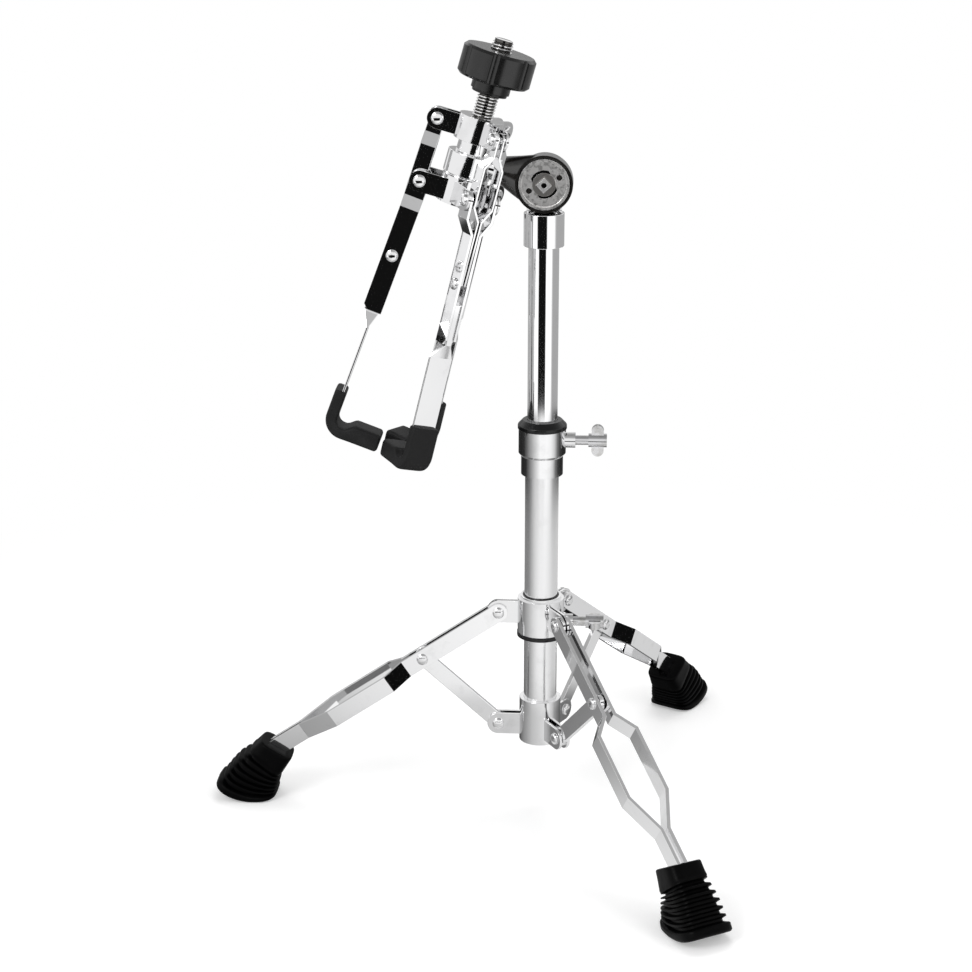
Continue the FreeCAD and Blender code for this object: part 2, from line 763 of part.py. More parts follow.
keep("friction_disc", turned("friction_disc", ring(
    "bolt_od", "friction_disc_od", "tilter_disc_back", base_front), at_tilter * lay_along_y))
base_disc = turned("tilter_base_disc", ring(
    "bolt_od", "tilter_base_od", base_front, base_back), at_tilter * lay_along_y)
cheek_low = size("sleeve_high")
cheek_tall = "tilter_height - sleeve_high - bolt_od"
cheek_block = box("tilter_cheek_block", "sleeve_od", "sleeve_od / 2 - (%s)" % base_front, cheek_tall,
                  shift(-size("sleeve_od") / 2, size(base_front), cheek_low))
cheek_round = cylinder("tilter_cheek_round", "sleeve_od", cheek_tall, shift(z=cheek_low))
cheek = common("tilter_cheek", cheek_block, cheek_round)
keep("tilter_base", fuse("tilter_base", [base_disc, cheek]))

cap_seat = "tilter_disc_front - tilter_rim_depth"
cap_front = cap_seat + " + cap_thick"
cap_floor = cap_front + " - cap_recess"
cap_inside = "cap_od / 2 - cap_rim_width"
cap_profile = [
    ("0", cap_seat),
    ("cap_od / 2", cap_seat),
    ("cap_od / 2", cap_front),
    (cap_inside, cap_front),
    (cap_inside, cap_floor),
    ("cap_boss_od / 2", cap_floor),
    ("cap_boss_od / 2", cap_front),
    ("0", cap_front),
]
cap_disc = turned("tilter_cap_disc", cap_profile, at_tilter * lay_along_minus_y)
shank_spot = at_tilter * shift(y=-size(cap_seat)) * lay_along_y
bolt_length = cap_seat + " + %s + bolt_tail" % base_back
bolt_shank = cylinder("tilter_bolt_shank", "bolt_od", bolt_length, shank_spot)
head_half = size("bolt_head_width") / 2
head_spot = at_tilter * turn_about(axis_y, size("bolt_head_angle"))
head_spot = head_spot * shift(-head_half, -size(cap_front + " + bolt_head_height"), -head_half)
bolt_head = box("tilter_bolt_head", "bolt_head_width", "bolt_head_height", "bolt_head_width", head_spot)
cap_holes = []
for number, half_turn in enumerate((0, 180)):
    spot = at_tilter * lay_along_minus_y * turn_about(axis_z, size("cap_hole_angle") + half_turn)
    spot = spot * shift(x=size("cap_hole_radius"), z=size(cap_seat) - size("overrun"))
    cap_holes.append(cylinder("tilter_hole_%d" % number, "cap_hole_od", "cap_thick + 2 * overrun", spot))
arc_ring = turned("tilter_arc_ring", ring(
    "cap_boss_od", "cap_boss_od + 2 * cap_arc_width", cap_floor + " - cap_arc_depth", cap_front),
    at_tilter * lay_along_minus_y)
arc_spot = at_tilter * turn_about(axis_y, -size("cap_hole_angle"))
arc_spot = arc_spot * shift(-size("cap_arc_span") / 2, -size(cap_front), -size("cap_od") / 2)
arc_band = box("tilter_arc_band", "cap_arc_span", cap_front, "cap_od", arc_spot)
socket_spot = at_tilter * shift(y=-size(cap_front + " + bolt_head_height")) * lay_along_y
bolt_socket = cylinder("tilter_bolt_socket", "bolt_socket_od", "bolt_head_height", socket_spot)
cap_tools = cap_holes + [common("tilter_arcs", arc_ring, arc_band), bolt_socket]
keep("tilter_bolt", cut("tilter_bolt", fuse("tilter_bolt_blank", [cap_disc, bolt_shank, bolt_head]), cap_tools))

bolt_clear = "bolt_od + 2 * run_fit"
nut_start = base_back + " + washer_thick"
keep("tilter_washer", turned("tilter_washer", ring(bolt_clear, "washer_od", base_back, nut_start),
                             at_tilter * lay_along_y))
keep("tilter_wing_nut", wing("tilter_wing_nut", nut_start, bolt_clear),
     at_tilter * turn_about(axis_z, 90) * turn_about(axis_x, 30))


# Basket: everything that tilts, built about its own upright axis

lean_place = at_tilter * turn_about(axis_y, size("basket_lean_angle"))
basket_place = lean_place * shift(x=-size("tilter_arm_length"))

disc_thick = "tilter_disc_front + tilter_disc_back"
arm_reach = "tilter_arm_length"
disc_spot = shift(size(arm_reach), -size("tilter_disc_front"), 0) * lay_along_y
arm_disc = cylinder("tilter_arm_disc", "tilter_disc_od", disc_thick, disc_spot)
stem_end = "block_od / 2 + ferrule_length"
narrow = doc.addObject("Part::Circle", "tilter_arm_narrow")
bind(narrow, Radius="tilter_cone_od / 2")
narrow.Placement = shift(x=size(stem_end)) * lay_along_x
wide_half = "%s * tilter_disc_od" % cone_mouth_share
wide_at = "tilter_arm_length - sqrt((tilter_disc_od / 2)^2 - (%s)^2)" % wide_half
clear_at = "tilter_arm_length - tilter_base_od / 2 - side_fit"
cone_slope = "(%s - tilter_cone_od / 2) / (%s - (%s))" % (wide_half, wide_at, stem_end)
clear_half = "tilter_cone_od / 2 + (%s) * (%s - (%s))" % (cone_slope, clear_at, stem_end)
disc_middle = (size("tilter_disc_back") - size("tilter_disc_front")) / 2
sections = [narrow]
for tag, spot, half_height in (("clear", clear_at, clear_half), ("wide", wide_at, wide_half)):
    oval = doc.addObject("Part::Ellipse", "tilter_arm_" + tag)
    bind(oval, MajorRadius=half_height, MinorRadius="(%s) / 2" % disc_thick)
    oval.Placement = shift(size(spot), disc_middle, 0) * lay_along_x
    sections.append(oval)
arm_cone = doc.addObject("Part::Loft", "tilter_arm_cone")
arm_cone.Sections = sections
arm_cone.Solid = True
arm_cone.Ruled = True
mouth_spot = shift(size(arm_reach), -size("tilter_disc_front + overrun"), 0) * lay_along_y
arm_bolt_hole = cylinder("tilter_arm_bore", bolt_clear, disc_thick + " + 2 * overrun", mouth_spot)
arm_recess = cylinder("tilter_arm_recess", "tilter_disc_od - 2 * tilter_rim_width",
                      "tilter_rim_depth + overrun", mouth_spot)
keep("tilter_arm", cut("tilter_arm", fuse("tilter_arm_blank", [arm_disc, arm_cone]),
                       [arm_bolt_hole, arm_recess]), basket_place)

ferrule_bar = cylinder("ferrule_bar", "ferrule_od", stem_end, lay_along_x)
ferrule_seat = cylinder("ferrule_seat", "block_od", "block_rise + block_drop", shift(z=-size("block_drop")))
ferrule_keep = box("ferrule_keep", stem_end, "ferrule_od", "block_rise + block_drop",
                   shift(0, -size("ferrule_od") / 2, -size("block_drop")))
ferrule_trim = common("ferrule_trim", ferrule_bar, ferrule_keep)
keep("tilter_ferrule", cut("tilter_ferrule", ferrule_trim, [ferrule_seat]), basket_place)

collar_foot = "-(arm_collar_top + arm_collar_height)"
hub_profile = [
    ("rod_od / 2", collar_foot),
    ("neck_od / 2", collar_foot),
    ("neck_od / 2", "-arm_collar_top"),
    ("hub_seat_od / 2", "-arm_collar_top"),
    ("hub_seat_od / 2", "-block_drop"),
    ("block_od / 2", "-block_drop"),
    ("block_od / 2", "block_rise"),
    ("neck_od / 2", "block_rise"),
    ("neck_od / 2", "neck_top"),
    ("rod_od / 2", "neck_top"),
]
keep("basket_hub", turned("basket_hub", hub_profile), basket_place)

rod_profile = [
    ("0", collar_foot),
    ("rod_od / 2", collar_foot),
    ("rod_od / 2", "rod_top - rod_thread_pitch / 2"),
    ("rod_od / 2 - rod_thread_pitch / 2", "rod_top"),
    ("0", "rod_top"),
]
keep("threaded_rod", turned("threaded_rod", rod_profile), basket_place)

arm_sleeve = turned("arm_sleeve", ring("neck_od", "arm_collar_od", collar_foot, "-arm_collar_top"))
arm_ear_gap = "arm_top_gap + 2 * arm_bar_thick + 2 * side_fit"
arm_eared = eared_collar(
    "arm_collar_eared", arm_sleeve, arm_azimuths, "basket_pivot_radius", "-arm_pivot_drop",
    "ear_depth", "ear_plate", arm_ear_gap, "rivet_od", "rivet_od")
arm_core = cylinder("arm_collar_core", "neck_od", "arm_collar_height + 2 * overrun",
                    shift(z=size(collar_foot) - size("overrun")))
set_holes = []
set_screws = []
for number, azimuth in enumerate(arm_azimuths, 1):
    spin = turn_about(axis_z, azimuth)
    screw_start = size("arm_collar_od / 2 + set_screw_proud - set_screw_length")
    spot = spin * shift(x=screw_start, z=-size("arm_pivot_drop")) * lay_along_x
    set_holes.append(cylinder("set_hole_%d" % number, "set_screw_od", "set_screw_length + overrun", spot))
    grub = cylinder("grub_%d" % number, "set_screw_od", "set_screw_length", spot)
    socket = cylinder("grub_socket_%d" % number, "set_screw_socket", "set_screw_length / 2",
                      spot * shift(z=size("set_screw_length") / 2))
    set_screws.append(cut("set_screw_%d" % number, grub, [socket]))
keep("arm_collar", cut("arm_collar", arm_eared, [arm_core] + set_holes), basket_place)
keep("set_screws", group("set_screws", set_screws), basket_place)

arm_pins = []
arm_pin_low = "arm_top_gap / 2"
arm_pin_high = "(%s) / 2 + ear_plate" % arm_ear_gap
for number, azimuth in enumerate(arm_azimuths, 1):
    spin = turn_about(axis_z, azimuth)
    for side in (1, -1):
        spot = spin * shift(size("basket_pivot_radius"), 0, -size("arm_pivot_drop"))
        spot = spot * turn_about(axis_x, -90 * side)
        arm_pins.append(half_rivet("arm_rivet_%d_%d" % (number, side + 2), "rivet_od", "rivet_head_od",
                                   "rivet_head_height", arm_pin_low, arm_pin_high, spot))
keep("arm_rivets", group("arm_rivets", arm_pins), basket_place)

spread_sleeve = turned("spread_sleeve", ring(
    "rod_od + 2 * run_fit", "spread_collar_od", "spread_collar_low",
    "spread_collar_low + spread_collar_height"))
link_ear_gap = "link_top_gap + 2 * link_thick + 2 * side_fit"
keep("spreader_collar", eared_collar(
    "spreader_collar", spread_sleeve, arm_azimuths, "basket_pivot_radius", "link_pivot_rise",
    "ear_depth", "ear_plate", link_ear_gap, "rivet_od", "(rod_od + spread_collar_od) / 4"), basket_place)

link_pins = []
link_pin_face = "(%s) / 2 + ear_plate" % link_ear_gap
for number, azimuth in enumerate(arm_azimuths, 1):
    spot = shift(size("basket_pivot_radius"), 0, size("link_pivot_rise")) * lay_along_y
    link_pins.append(rivet("link_rivet_%d" % number, "rivet_od", "rivet_head_od", "rivet_head_height",
                           "-(%s)" % link_pin_face, link_pin_face, turn_about(axis_z, azimuth) * spot))
keep("link_rivets", group("link_rivets", link_pins), basket_place)

knob_low = "knob_rise - knob_height / 2"
knob_high = "knob_rise + knob_height / 2"
rod_clear = "rod_od / 2 + run_fit"
knob_foot = knob_low + " - knob_hub_length"
knob_profile = [
    (rod_clear, knob_foot),
    ("knob_hub_od / 2", knob_foot),
    ("knob_hub_od / 2", knob_low),
    ("knob_od / 2 - knob_edge", knob_low),
    ("knob_od / 2", knob_low + " + knob_edge"),
    ("knob_od / 2", knob_high + " - knob_edge"),
    ("knob_od / 2 - knob_edge", knob_high),
    (rod_clear, knob_high),
]
knob_blank = turned("knob_blank", knob_profile)
flutes = []
for number in range(flute_count):
    spot = turn_about(axis_z, size("knob_rest_angle") + number * 360 / flute_count)
    spot = spot * shift(x=size("knob_od / 2 - knob_flute_depth + knob_flute_od / 2"),
                        z=size(knob_low) - size("overrun"))
    flutes.append(cylinder("flute_%d" % number, "knob_flute_od", "knob_height + 2 * overrun", spot))
keep("knob", cut("knob", knob_blank, flutes), basket_place)
keep("knob_washer", turned("knob_washer", ring(
    "rod_od + 2 * run_fit", "knob_washer_od", knob_foot + " - knob_washer_thick", knob_foot)), basket_place)


# Basket arms and links

collar_spacing = size("collar_spacing")
link_angle, inner_angle = linkage_angles(size("link_length"), size("arm_link"), collar_spacing)
arm_angle = 180 - inner_angle
basket_r = size("basket_pivot_radius")
arm_place = shift(basket_r, 0, -size("arm_pivot_drop")) * turn_about(axis_y, -arm_angle)
link_place = shift(basket_r, 0, size("link_pivot_rise")) * turn_about(axis_y, -link_angle)

arm_stations = [
    ("0", "arm_top_gap"),
    ("arm_close_start", "arm_top_gap"),
    ("arm_close_end", "arm_end_gap"),
    ("arm_bar_length", "arm_end_gap"),
]
link_stations = [
    ("0", "link_top_gap"),
    ("link_flare_start", "link_top_gap"),
    ("link_flare_end", "link_wide_gap"),
    ("link_close_start", "link_wide_gap"),
    ("link_close_end", "link_end_gap"),
    ("link_length", "link_end_gap"),
]
boot_in = "(boot_outside - boot_wall)"
boot_outline = [
    (boot_in, "-boot_top"),
    ("boot_outside", "-boot_top"),
    ("boot_outside", "-boot_end"),
    ("-boot_reach", "-boot_end"),
    ("-boot_reach", "-(boot_end - boot_foot)"),
    (boot_in, "-(boot_end - boot_foot)"),
]


def rounded(body, feature, name, corner, radius):
    """A fillet on the one edge across the body at an outline corner."""
    doc.recompute()
    spot = Vector(size(corner[0]), 0, size(corner[1]))
    found = []
    for index, edge in enumerate(feature.Shape.Edges, 1):
        ends = [Vector(point.Point.x, 0, point.Point.z) for point in edge.Vertexes]
        if len(ends) == 2 and max(end.distanceToPoint(spot) for end in ends) < size("run_fit"):
            found.append("Edge%d" % index)
    fillet = body.newObject("PartDesign::Fillet", name)
    fillet.Base = (feature, found)
    bind(fillet, Radius=radius)
    return fillet


def rubber_boot(name, place):
    """L-shaped rubber boot over the bent end of the strip, before the strip's slot is cut."""
    body, sketch = body_sketch(name, "XZ_Plane", boot_outline)
    pad = body.newObject("PartDesign::Pad", name + "_pad")
    pad.Profile = sketch
    bind(pad, Length="boot_width")
    last = rounded(body, pad, name + "_corner", boot_outline[2], "boot_corner")
    last = rounded(body, last, name + "_heel", boot_outline[5], "boot_heel")
    last = rounded(body, last, name + "_toe", boot_outline[3], "boot_toe")
    body.Placement = place * shift(y=size("boot_width") / 2)
    return body


def arm_strip(name, place):
    """Blade held between the arm bars, twisted flat into a strip that bends in under the boot."""
    flat_x = -size("strip_offset")
    blade_wide = size("arm_end_gap")
    blade = box(name + "_blade", "blade_depth", "arm_end_gap", "crimp_start - blade_start",
                shift(-size("blade_depth") / 2, -blade_wide / 2, -size("crimp_start")))
    top = rectangle(name + "_neck_top", "blade_depth", "arm_end_gap", shift(z=-size("crimp_start")))
    foot = rectangle(name + "_neck_foot", "strip_thick", "strip_width", shift(x=flat_x, z=-size("crimp_end")))
    neck = doc.addObject("Part::Loft", name + "_neck")
    neck.Sections = [top, foot]
    neck.Solid = True
    neck.Ruled = True
    tongue_low = "boot_end - boot_foot / 2 + strip_thick / 2"
    edge_x = flat_x - size("strip_thick") / 2
    half = size("strip_width") / 2
    flat = box(name + "_flat", "strip_thick", "strip_width", "%s - crimp_end" % tongue_low,
               shift(edge_x, -half, -size(tongue_low)))
    tongue_length = "boot_reach / 2"
    tongue = box(name + "_tongue", tongue_length, "strip_width", "strip_thick",
                 shift(edge_x + size("strip_thick") - size(tongue_length), -half, -size(tongue_low)))
    item = fuse(name, [blade, neck, flat, tongue])
    item.Placement = place
    return item


for number, azimuth in enumerate(arm_azimuths, 1):
    spin = basket_place * turn_about(axis_z, azimuth)
    arm = "arm_%d" % number
    bars = []
    for side, word in ((1, "left"), (-1, "right")):
        bar = bent_bar("%s_bar_%s_blank" % (arm, word), arm_stations, "arm_bar_depth", "arm_bar_thick", side,
                       [("0", "arm_top_gap"), ("arm_link", "arm_end_gap")], "rivet_od + 2 * run_fit")
        spot = shift(size("arm_bar_depth") / 2, 0, -size("arm_bar_length")) * turn_about(axis_y, 45)
        half = size("arm_bar_corner / sqrt(2)")
        knife = box("%s_corner_%s" % (arm, word), "2 * arm_bar_corner / sqrt(2)", "4 * arm_top_gap",
                    "2 * arm_bar_corner / sqrt(2)", spot * shift(-half, -2 * size("arm_top_gap"), -half))
        bars.append(cut("%s_bar_%s" % (arm, word), bar, [knife]))
    keep(arm + "_bars", group(arm + "_bars", bars), spin * arm_place)
    strip = keep(arm + "_strip", arm_strip(arm + "_strip", spin * arm_place))
    boot = rubber_boot(arm + "_boot_solid", spin * arm_place)
    keep(arm + "_boot", cut(arm + "_boot", boot, [strip]))
    studs = []
    for side in (1, -1):
        stud_spot = shift(z=-size("arm_link")) * turn_about(axis_x, -90 * side)
        studs.append(half_rivet("%s_stud_%d" % (arm, side + 2), "rivet_od", "rivet_head_od",
                                "rivet_head_height", "arm_end_gap / 2", "arm_end_gap / 2 + arm_bar_thick",
                                stud_spot))
    keep(arm + "_rivet", group(arm + "_rivet", studs), spin * arm_place)

    link = "link_%d" % number
    links = [bent_bar("%s_bar_%s" % (link, word), link_stations, "link_depth", "link_thick", side,
                      [("0", "link_top_gap")], "rivet_od + 2 * run_fit")
             for side, word in ((1, "left"), (-1, "right"))]
    keep(link, group(link, links), spin * link_place)


# Check and write

doc.recompute()
faults = [item.Label for item in doc.Objects if "Invalid" in item.State or "Error" in item.State]
for label, item in sub_parts.items():
    shape = item.Shape
    if shape.isNull() or not shape.isValid() or not shape.Solids:
        faults.append(label)
if faults:
    raise RuntimeError("these did not build: " + ", ".join(sorted(set(faults))))
for label, item in sub_parts.items():
    item.Shape.exportStep("parts/%s.step" % label)
print(len(sub_parts), "sub-parts written")
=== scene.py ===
import bpy
import bmesh
import math
from mathutils import Matrix, Vector


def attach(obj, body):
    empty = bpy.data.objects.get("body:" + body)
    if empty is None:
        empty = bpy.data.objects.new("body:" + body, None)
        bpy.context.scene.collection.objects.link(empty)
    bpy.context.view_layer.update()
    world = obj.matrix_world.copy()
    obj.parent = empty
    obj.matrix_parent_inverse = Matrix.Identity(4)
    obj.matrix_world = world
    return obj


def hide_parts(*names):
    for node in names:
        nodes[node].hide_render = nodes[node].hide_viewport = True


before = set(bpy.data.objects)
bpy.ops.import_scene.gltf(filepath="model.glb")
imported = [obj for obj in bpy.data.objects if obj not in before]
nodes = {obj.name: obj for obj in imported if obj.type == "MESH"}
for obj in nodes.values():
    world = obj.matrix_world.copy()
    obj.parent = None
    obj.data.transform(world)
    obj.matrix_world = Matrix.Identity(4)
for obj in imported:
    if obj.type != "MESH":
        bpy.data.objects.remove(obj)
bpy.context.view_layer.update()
print("frame loaded:", len(nodes), "nodes")


class Wire:  # a socket that can stand in a sum
    def __init__(self, finish, socket):
        self.finish = finish
        self.socket = socket

    def calc(self, operation, first, second):
        return self.finish.node("ShaderNodeMath", {"operation": operation}, {0: first, 1: second})

    def __add__(self, other):
        return self.calc("ADD", self, other)

    def __radd__(self, other):
        return self.calc("ADD", other, self)

    def __sub__(self, other):
        return self.calc("SUBTRACT", self, other)

    def __rsub__(self, other):
        return self.calc("SUBTRACT", other, self)

    def __mul__(self, other):
        return self.calc("MULTIPLY", self, other)

    def __rmul__(self, other):
        return self.calc("MULTIPLY", other, self)

    def atLeast(self, other):
        return self.calc("MAXIMUM", self, other)


class Finish:  # one node tree, of a new material or of the world
    def __init__(self, name, settings=None, owner=None):
        self.material = owner or bpy.data.materials.new(name)
        self.material.use_nodes = True
        self.tree = self.material.node_tree
        self.tree.nodes.clear()
        if settings is not None:
            self.output = self.tree.nodes.new("ShaderNodeOutputMaterial")
            self.shader = self.tree.nodes.new("ShaderNodeBsdfPrincipled")
            for socket, value in settings.items():
                self.feed(self.shader.inputs[socket], value)
            self.tree.links.new(self.shader.outputs[0], self.output.inputs["Surface"])
            self.place = self.node("ShaderNodeTexCoord", out="Object")

    def feed(self, socket, value):
        if isinstance(value, Wire):
            self.tree.links.new(value.socket, socket)
        elif isinstance(value, tuple) and len(value) == 3 and socket.type == "RGBA":
            socket.default_value = value + (1.0,)
        else:
            socket.default_value = value

    def node(self, kind, settings=None, sockets=None, out=0):
        made = self.tree.nodes.new(kind)
        for key, value in (settings or {}).items():
            if key == "stops":
                ramp = made.color_ramp
                while len(ramp.elements) < len(value):
                    ramp.elements.new(1.0)
                for stop, (position, level) in zip(ramp.elements, value):
                    stop.position = position
                    stop.color = (level, level, level, 1.0)
            else:
                setattr(made, key, value)
        for key, value in (sockets or {}).items():
            self.feed(made.inputs[key], value)
        return Wire(self, made.outputs[out])

    def set(self, socket, value):
        self.feed(self.shader.inputs[socket], value)

    def noise(self, scale, detail=2.0, rough=0.5, vector=None):
        sockets = {"Vector": vector or self.place, "Scale": scale, "Detail": detail, "Roughness": rough}
        return self.node("ShaderNodeTexNoise", None, sockets)

    def stretched(self, scale):  # coordinates with a factor on each axis
        return self.node("ShaderNodeVectorMath", {"operation": "MULTIPLY"}, {0: self.place, 1: scale})

    def ramp(self, value, low, high):  # 0 below low and 1 above high
        settings = {"interpolation_type": "SMOOTHSTEP"}
        return self.node("ShaderNodeMapRange", settings, {"Value": value, "From Min": low, "From Max": high})

    def blend(self, factor, first, second):
        settings = {"data_type": "RGBA"}
        return self.node("ShaderNodeMix", settings, {0: factor, 6: first, 7: second}, out=2)

    def bump(self, height, distance, under=None):
        sockets = {"Height": height, "Distance": distance, "Strength": 1.0}
        if under is not None:
            sockets["Normal"] = under
        return self.node("ShaderNodeBump", None, sockets)


# bright plating on the tubes, smooth drawn steel underneath; the lower tube is satin
tubeChrome = {"colour": (0.9, 0.9, 0.905), "haze": (0.035, 0.075), "wave": 0.00001}
satinTube = {"colour": (0.87, 0.87, 0.875), "haze": (0.15, 0.22), "wave": 0.00003}
drawnSteel = {"cloud": 14.0, "lines": 90.0, "stretch": (6.0, 6.0, 0.25), "lineHaze": 0.02,
              "smear": 46.0, "smearEdge": (0.52, 0.74), "smearHaze": 0.03, "dull": 0.95}


def makeTubeChrome(name, shape, steel):
    made = Finish(name, {"Metallic": 1.0})
    cloud = made.noise(steel["cloud"], detail=3.0)
    drawn = made.noise(steel["lines"], vector=made.stretched(steel["stretch"]))  # faint draw lines
    smear = made.ramp(made.noise(steel["smear"], detail=4.0, rough=0.62), *steel["smearEdge"])
    low, high = shape["haze"]
    haze = low + (high - low) * cloud + steel["smearHaze"] * smear + steel["lineHaze"] * drawn
    made.set("Roughness", haze)
    dull = tuple(steel["dull"] * c for c in shape["colour"])
    made.set("Base Color", made.blend(smear, shape["colour"], dull))
    made.set("Normal", made.bump(drawn, shape["wave"]))
    return made.material


# plating on flat bar, a little wavy because the bar is only rolled
barChrome = {"colour": (0.91, 0.91, 0.915), "haze": (0.03, 0.07), "cloud": 30.0, "rolled": 38.0,
             "wave": 0.00006, "peel": 620.0, "peelDepth": 0.000003, "smear": 70.0,
             "smearEdge": (0.54, 0.75), "smearHaze": 0.04, "dull": 0.93}


def makeBarChrome(shape):
    made = Finish("barChrome", {"Metallic": 1.0})
    cloud = made.noise(shape["cloud"], detail=3.0)
    rolled = made.noise(shape["rolled"], detail=1.0)
    peel = made.noise(shape["peel"])
    smear = made.ramp(made.noise(shape["smear"], detail=4.0, rough=0.6), *shape["smearEdge"])
    low, high = shape["haze"]
    made.set("Roughness", low + (high - low) * cloud + shape["smearHaze"] * smear)
    dull = tuple(shape["dull"] * c for c in shape["colour"])
    made.set("Base Color", made.blend(smear, shape["colour"], dull))
    wave = made.bump(rolled, shape["wave"])
    made.set("Normal", made.bump(peel, shape["peelDepth"], under=wave))
    return made.material


# plating on cast and pressed pieces, with a soft orange peel
castChrome = {"colour": (0.83, 0.83, 0.835), "haze": (0.035, 0.085), "cloud": 55.0, "peel": 260.0,
              "peelDepth": 0.000016, "dull": 0.92, "dullEdge": (0.5, 0.72)}


def makeCastChrome(shape):
    made = Finish("castChrome", {"Metallic": 1.0})
    cloud = made.noise(shape["cloud"], detail=3.0)
    peel = made.noise(shape["peel"])
    low, high = shape["haze"]
    made.set("Roughness", low + (high - low) * cloud)
    dull = tuple(shape["dull"] * c for c in shape["colour"])
    made.set("Base Color", made.blend(made.ramp(cloud, *shape["dullEdge"]), shape["colour"], dull))
    made.set("Normal", made.bump(peel, shape["peelDepth"]))
    return made.material


# the tilter's cap: bright floor and bolt head, with painted shade greying the boss and painted shade in black
# in the arcs and the socket
capChrome = {"axis": (0.0, 0.0, 0.554), "floor": (0.9, 0.89, 0.88), "boss": (0.3, 0.29, 0.28),
             "head": (0.95, 0.95, 0.95), "dark": (0.008, 0.008, 0.008), "haze": (0.25, 0.34),
             "bossEdge": (0.0092, 0.0097), "socketEdge": (0.0021, 0.0024), "headEdge": (-0.0150, -0.0130),
             "arcEdge": (-0.0099, -0.0092), "cloud": 210.0, "grainDepth": 0.000012, "worn": 0.5,
             "wornEdge": (0.46, 0.66), "recessShadeHaze": 0.3}


def makeCapChrome(shape):
    made = Finish("capChrome", {"Metallic": 1.0})
    cloud = made.noise(shape["cloud"], detail=3.0, rough=0.6)
    flat = made.stretched((1.0, 0.0, 1.0))
    spoke = made.node("ShaderNodeVectorMath", {"operation": "SUBTRACT"}, {0: flat, 1: shape["axis"]})
    away = made.node("ShaderNodeVectorMath", {"operation": "LENGTH"}, {0: spoke}, "Value")
    depth = made.node("ShaderNodeSeparateXYZ", None, {0: made.place}, "Y")
    worn = tuple(shape["worn"] * c for c in shape["floor"])
    plate = made.blend(made.ramp(cloud, *shape["wornEdge"]), shape["floor"], worn)
    # painted shade: the boss is greyed to stand in for the shade on it
    plate = made.blend(made.ramp(away, *shape["bossEdge"]), shape["boss"], plate)
    plate = made.blend(made.ramp(depth, *shape["headEdge"]), shape["head"], plate)
    # painted shade: black in the deeper arcs and in the socket
    recessShade = made.ramp(depth, *shape["arcEdge"]).atLeast(1.0 - made.ramp(away, *shape["socketEdge"]))
    made.set("Base Color", made.blend(recessShade, plate, shape["dark"]))
    low, high = shape["haze"]
    made.set("Roughness", low + (high - low) * cloud + shape["recessShadeHaze"] * recessShade)
    made.set("Normal", made.bump(cloud, shape["grainDepth"]))
    return made.material


# zinc plate on the washer and the wing screws, and on the rod, with painted shade darkening the thread's
# roots
zincSteel = {"colour": (0.66, 0.66, 0.67), "warm": (0.53, 0.525, 0.515), "haze": (0.07, 0.14)}
threadSteel = {"colour": (0.9, 0.9, 0.905), "warm": (0.82, 0.815, 0.805), "haze": (0.06, 0.13),
               "root": (0.1, 0.098, 0.094), "core": (0.0068, 0.0071), "crest": (0.0074, 0.0084)}
zincSkin = {"cloud": 120.0, "warmEdge": (0.42, 0.66), "grain": 900.0, "grainDepth": 0.000003}


def makeZincSteel(name, shape, skin):
    made = Finish(name, {"Metallic": 1.0})
    cloud = made.noise(skin["cloud"], detail=4.0, rough=0.6)
    grain = made.noise(skin["grain"])
    low, high = shape["haze"]
    made.set("Roughness", low + (high - low) * cloud)
    plate = made.blend(made.ramp(cloud, *skin["warmEdge"]), shape["colour"], shape["warm"])
    if "root" in shape:
        flat = made.stretched((1.0, 1.0, 0.0))
        away = made.node("ShaderNodeVectorMath", {"operation": "LENGTH"}, {0: flat}, "Value")
        # painted shade: the band between core and crest, in the thread's roots, is darkened
        shadedRoots = made.ramp(away, *shape["core"]) - made.ramp(away, *shape["crest"])
        plate = made.blend(shadedRoots, plate, shape["root"])
    made.set("Base Color", plate)
    made.set("Normal", made.bump(grain, skin["grainDepth"]))
    return made.material


# stoved black on the tilter arm
blackEnamel = {"colour": (0.007, 0.006, 0.0052), "worn": (0.017, 0.0145, 0.0125), "gloss": (0.15, 0.26),
               "coat": (0.4, 0.8), "cloud": 65.0, "wornEdge": (0.45, 0.7), "peel": 420.0,
               "peelDepth": 0.00002}


def makeBlackEnamel(shape):
    made = Finish("blackEnamel", {"Coat Roughness": 0.1, "Specular IOR Level": 0.6})
    cloud = made.noise(shape["cloud"], detail=4.0, rough=0.6)
    peel = made.noise(shape["peel"])
    low, high = shape["gloss"]
    made.set("Roughness", low + (high - low) * cloud)
    made.set("Base Color", made.blend(made.ramp(cloud, *shape["wornEdge"]), shape["colour"], shape["worn"]))
    thin, thick = shape["coat"]
    made.set("Coat Weight", thin + (thick - thin) * cloud)
    made.set("Normal", made.bump(peel, shape["peelDepth"]))
    return made.material


# oiled black steel of the grub screws
blackSteel = {"colour": (0.03, 0.03, 0.032), "rubbed": (0.11, 0.11, 0.11), "haze": (0.3, 0.5),
              "cloud": 300.0, "rubbedEdge": (0.5, 0.7), "grainDepth": 0.00003}


def makeBlackSteel(shape):
    made = Finish("blackSteel", {"Metallic": 0.8})
    cloud = made.noise(shape["cloud"], detail=3.0)
    low, high = shape["haze"]
    made.set("Roughness", low + (high - low) * cloud)
    rubbed = made.ramp(cloud, *shape["rubbedEdge"])
    made.set("Base Color", made.blend(rubbed, shape["colour"], shape["rubbed"]))
    made.set("Normal", made.bump(cloud, shape["grainDepth"]))
    return made.material


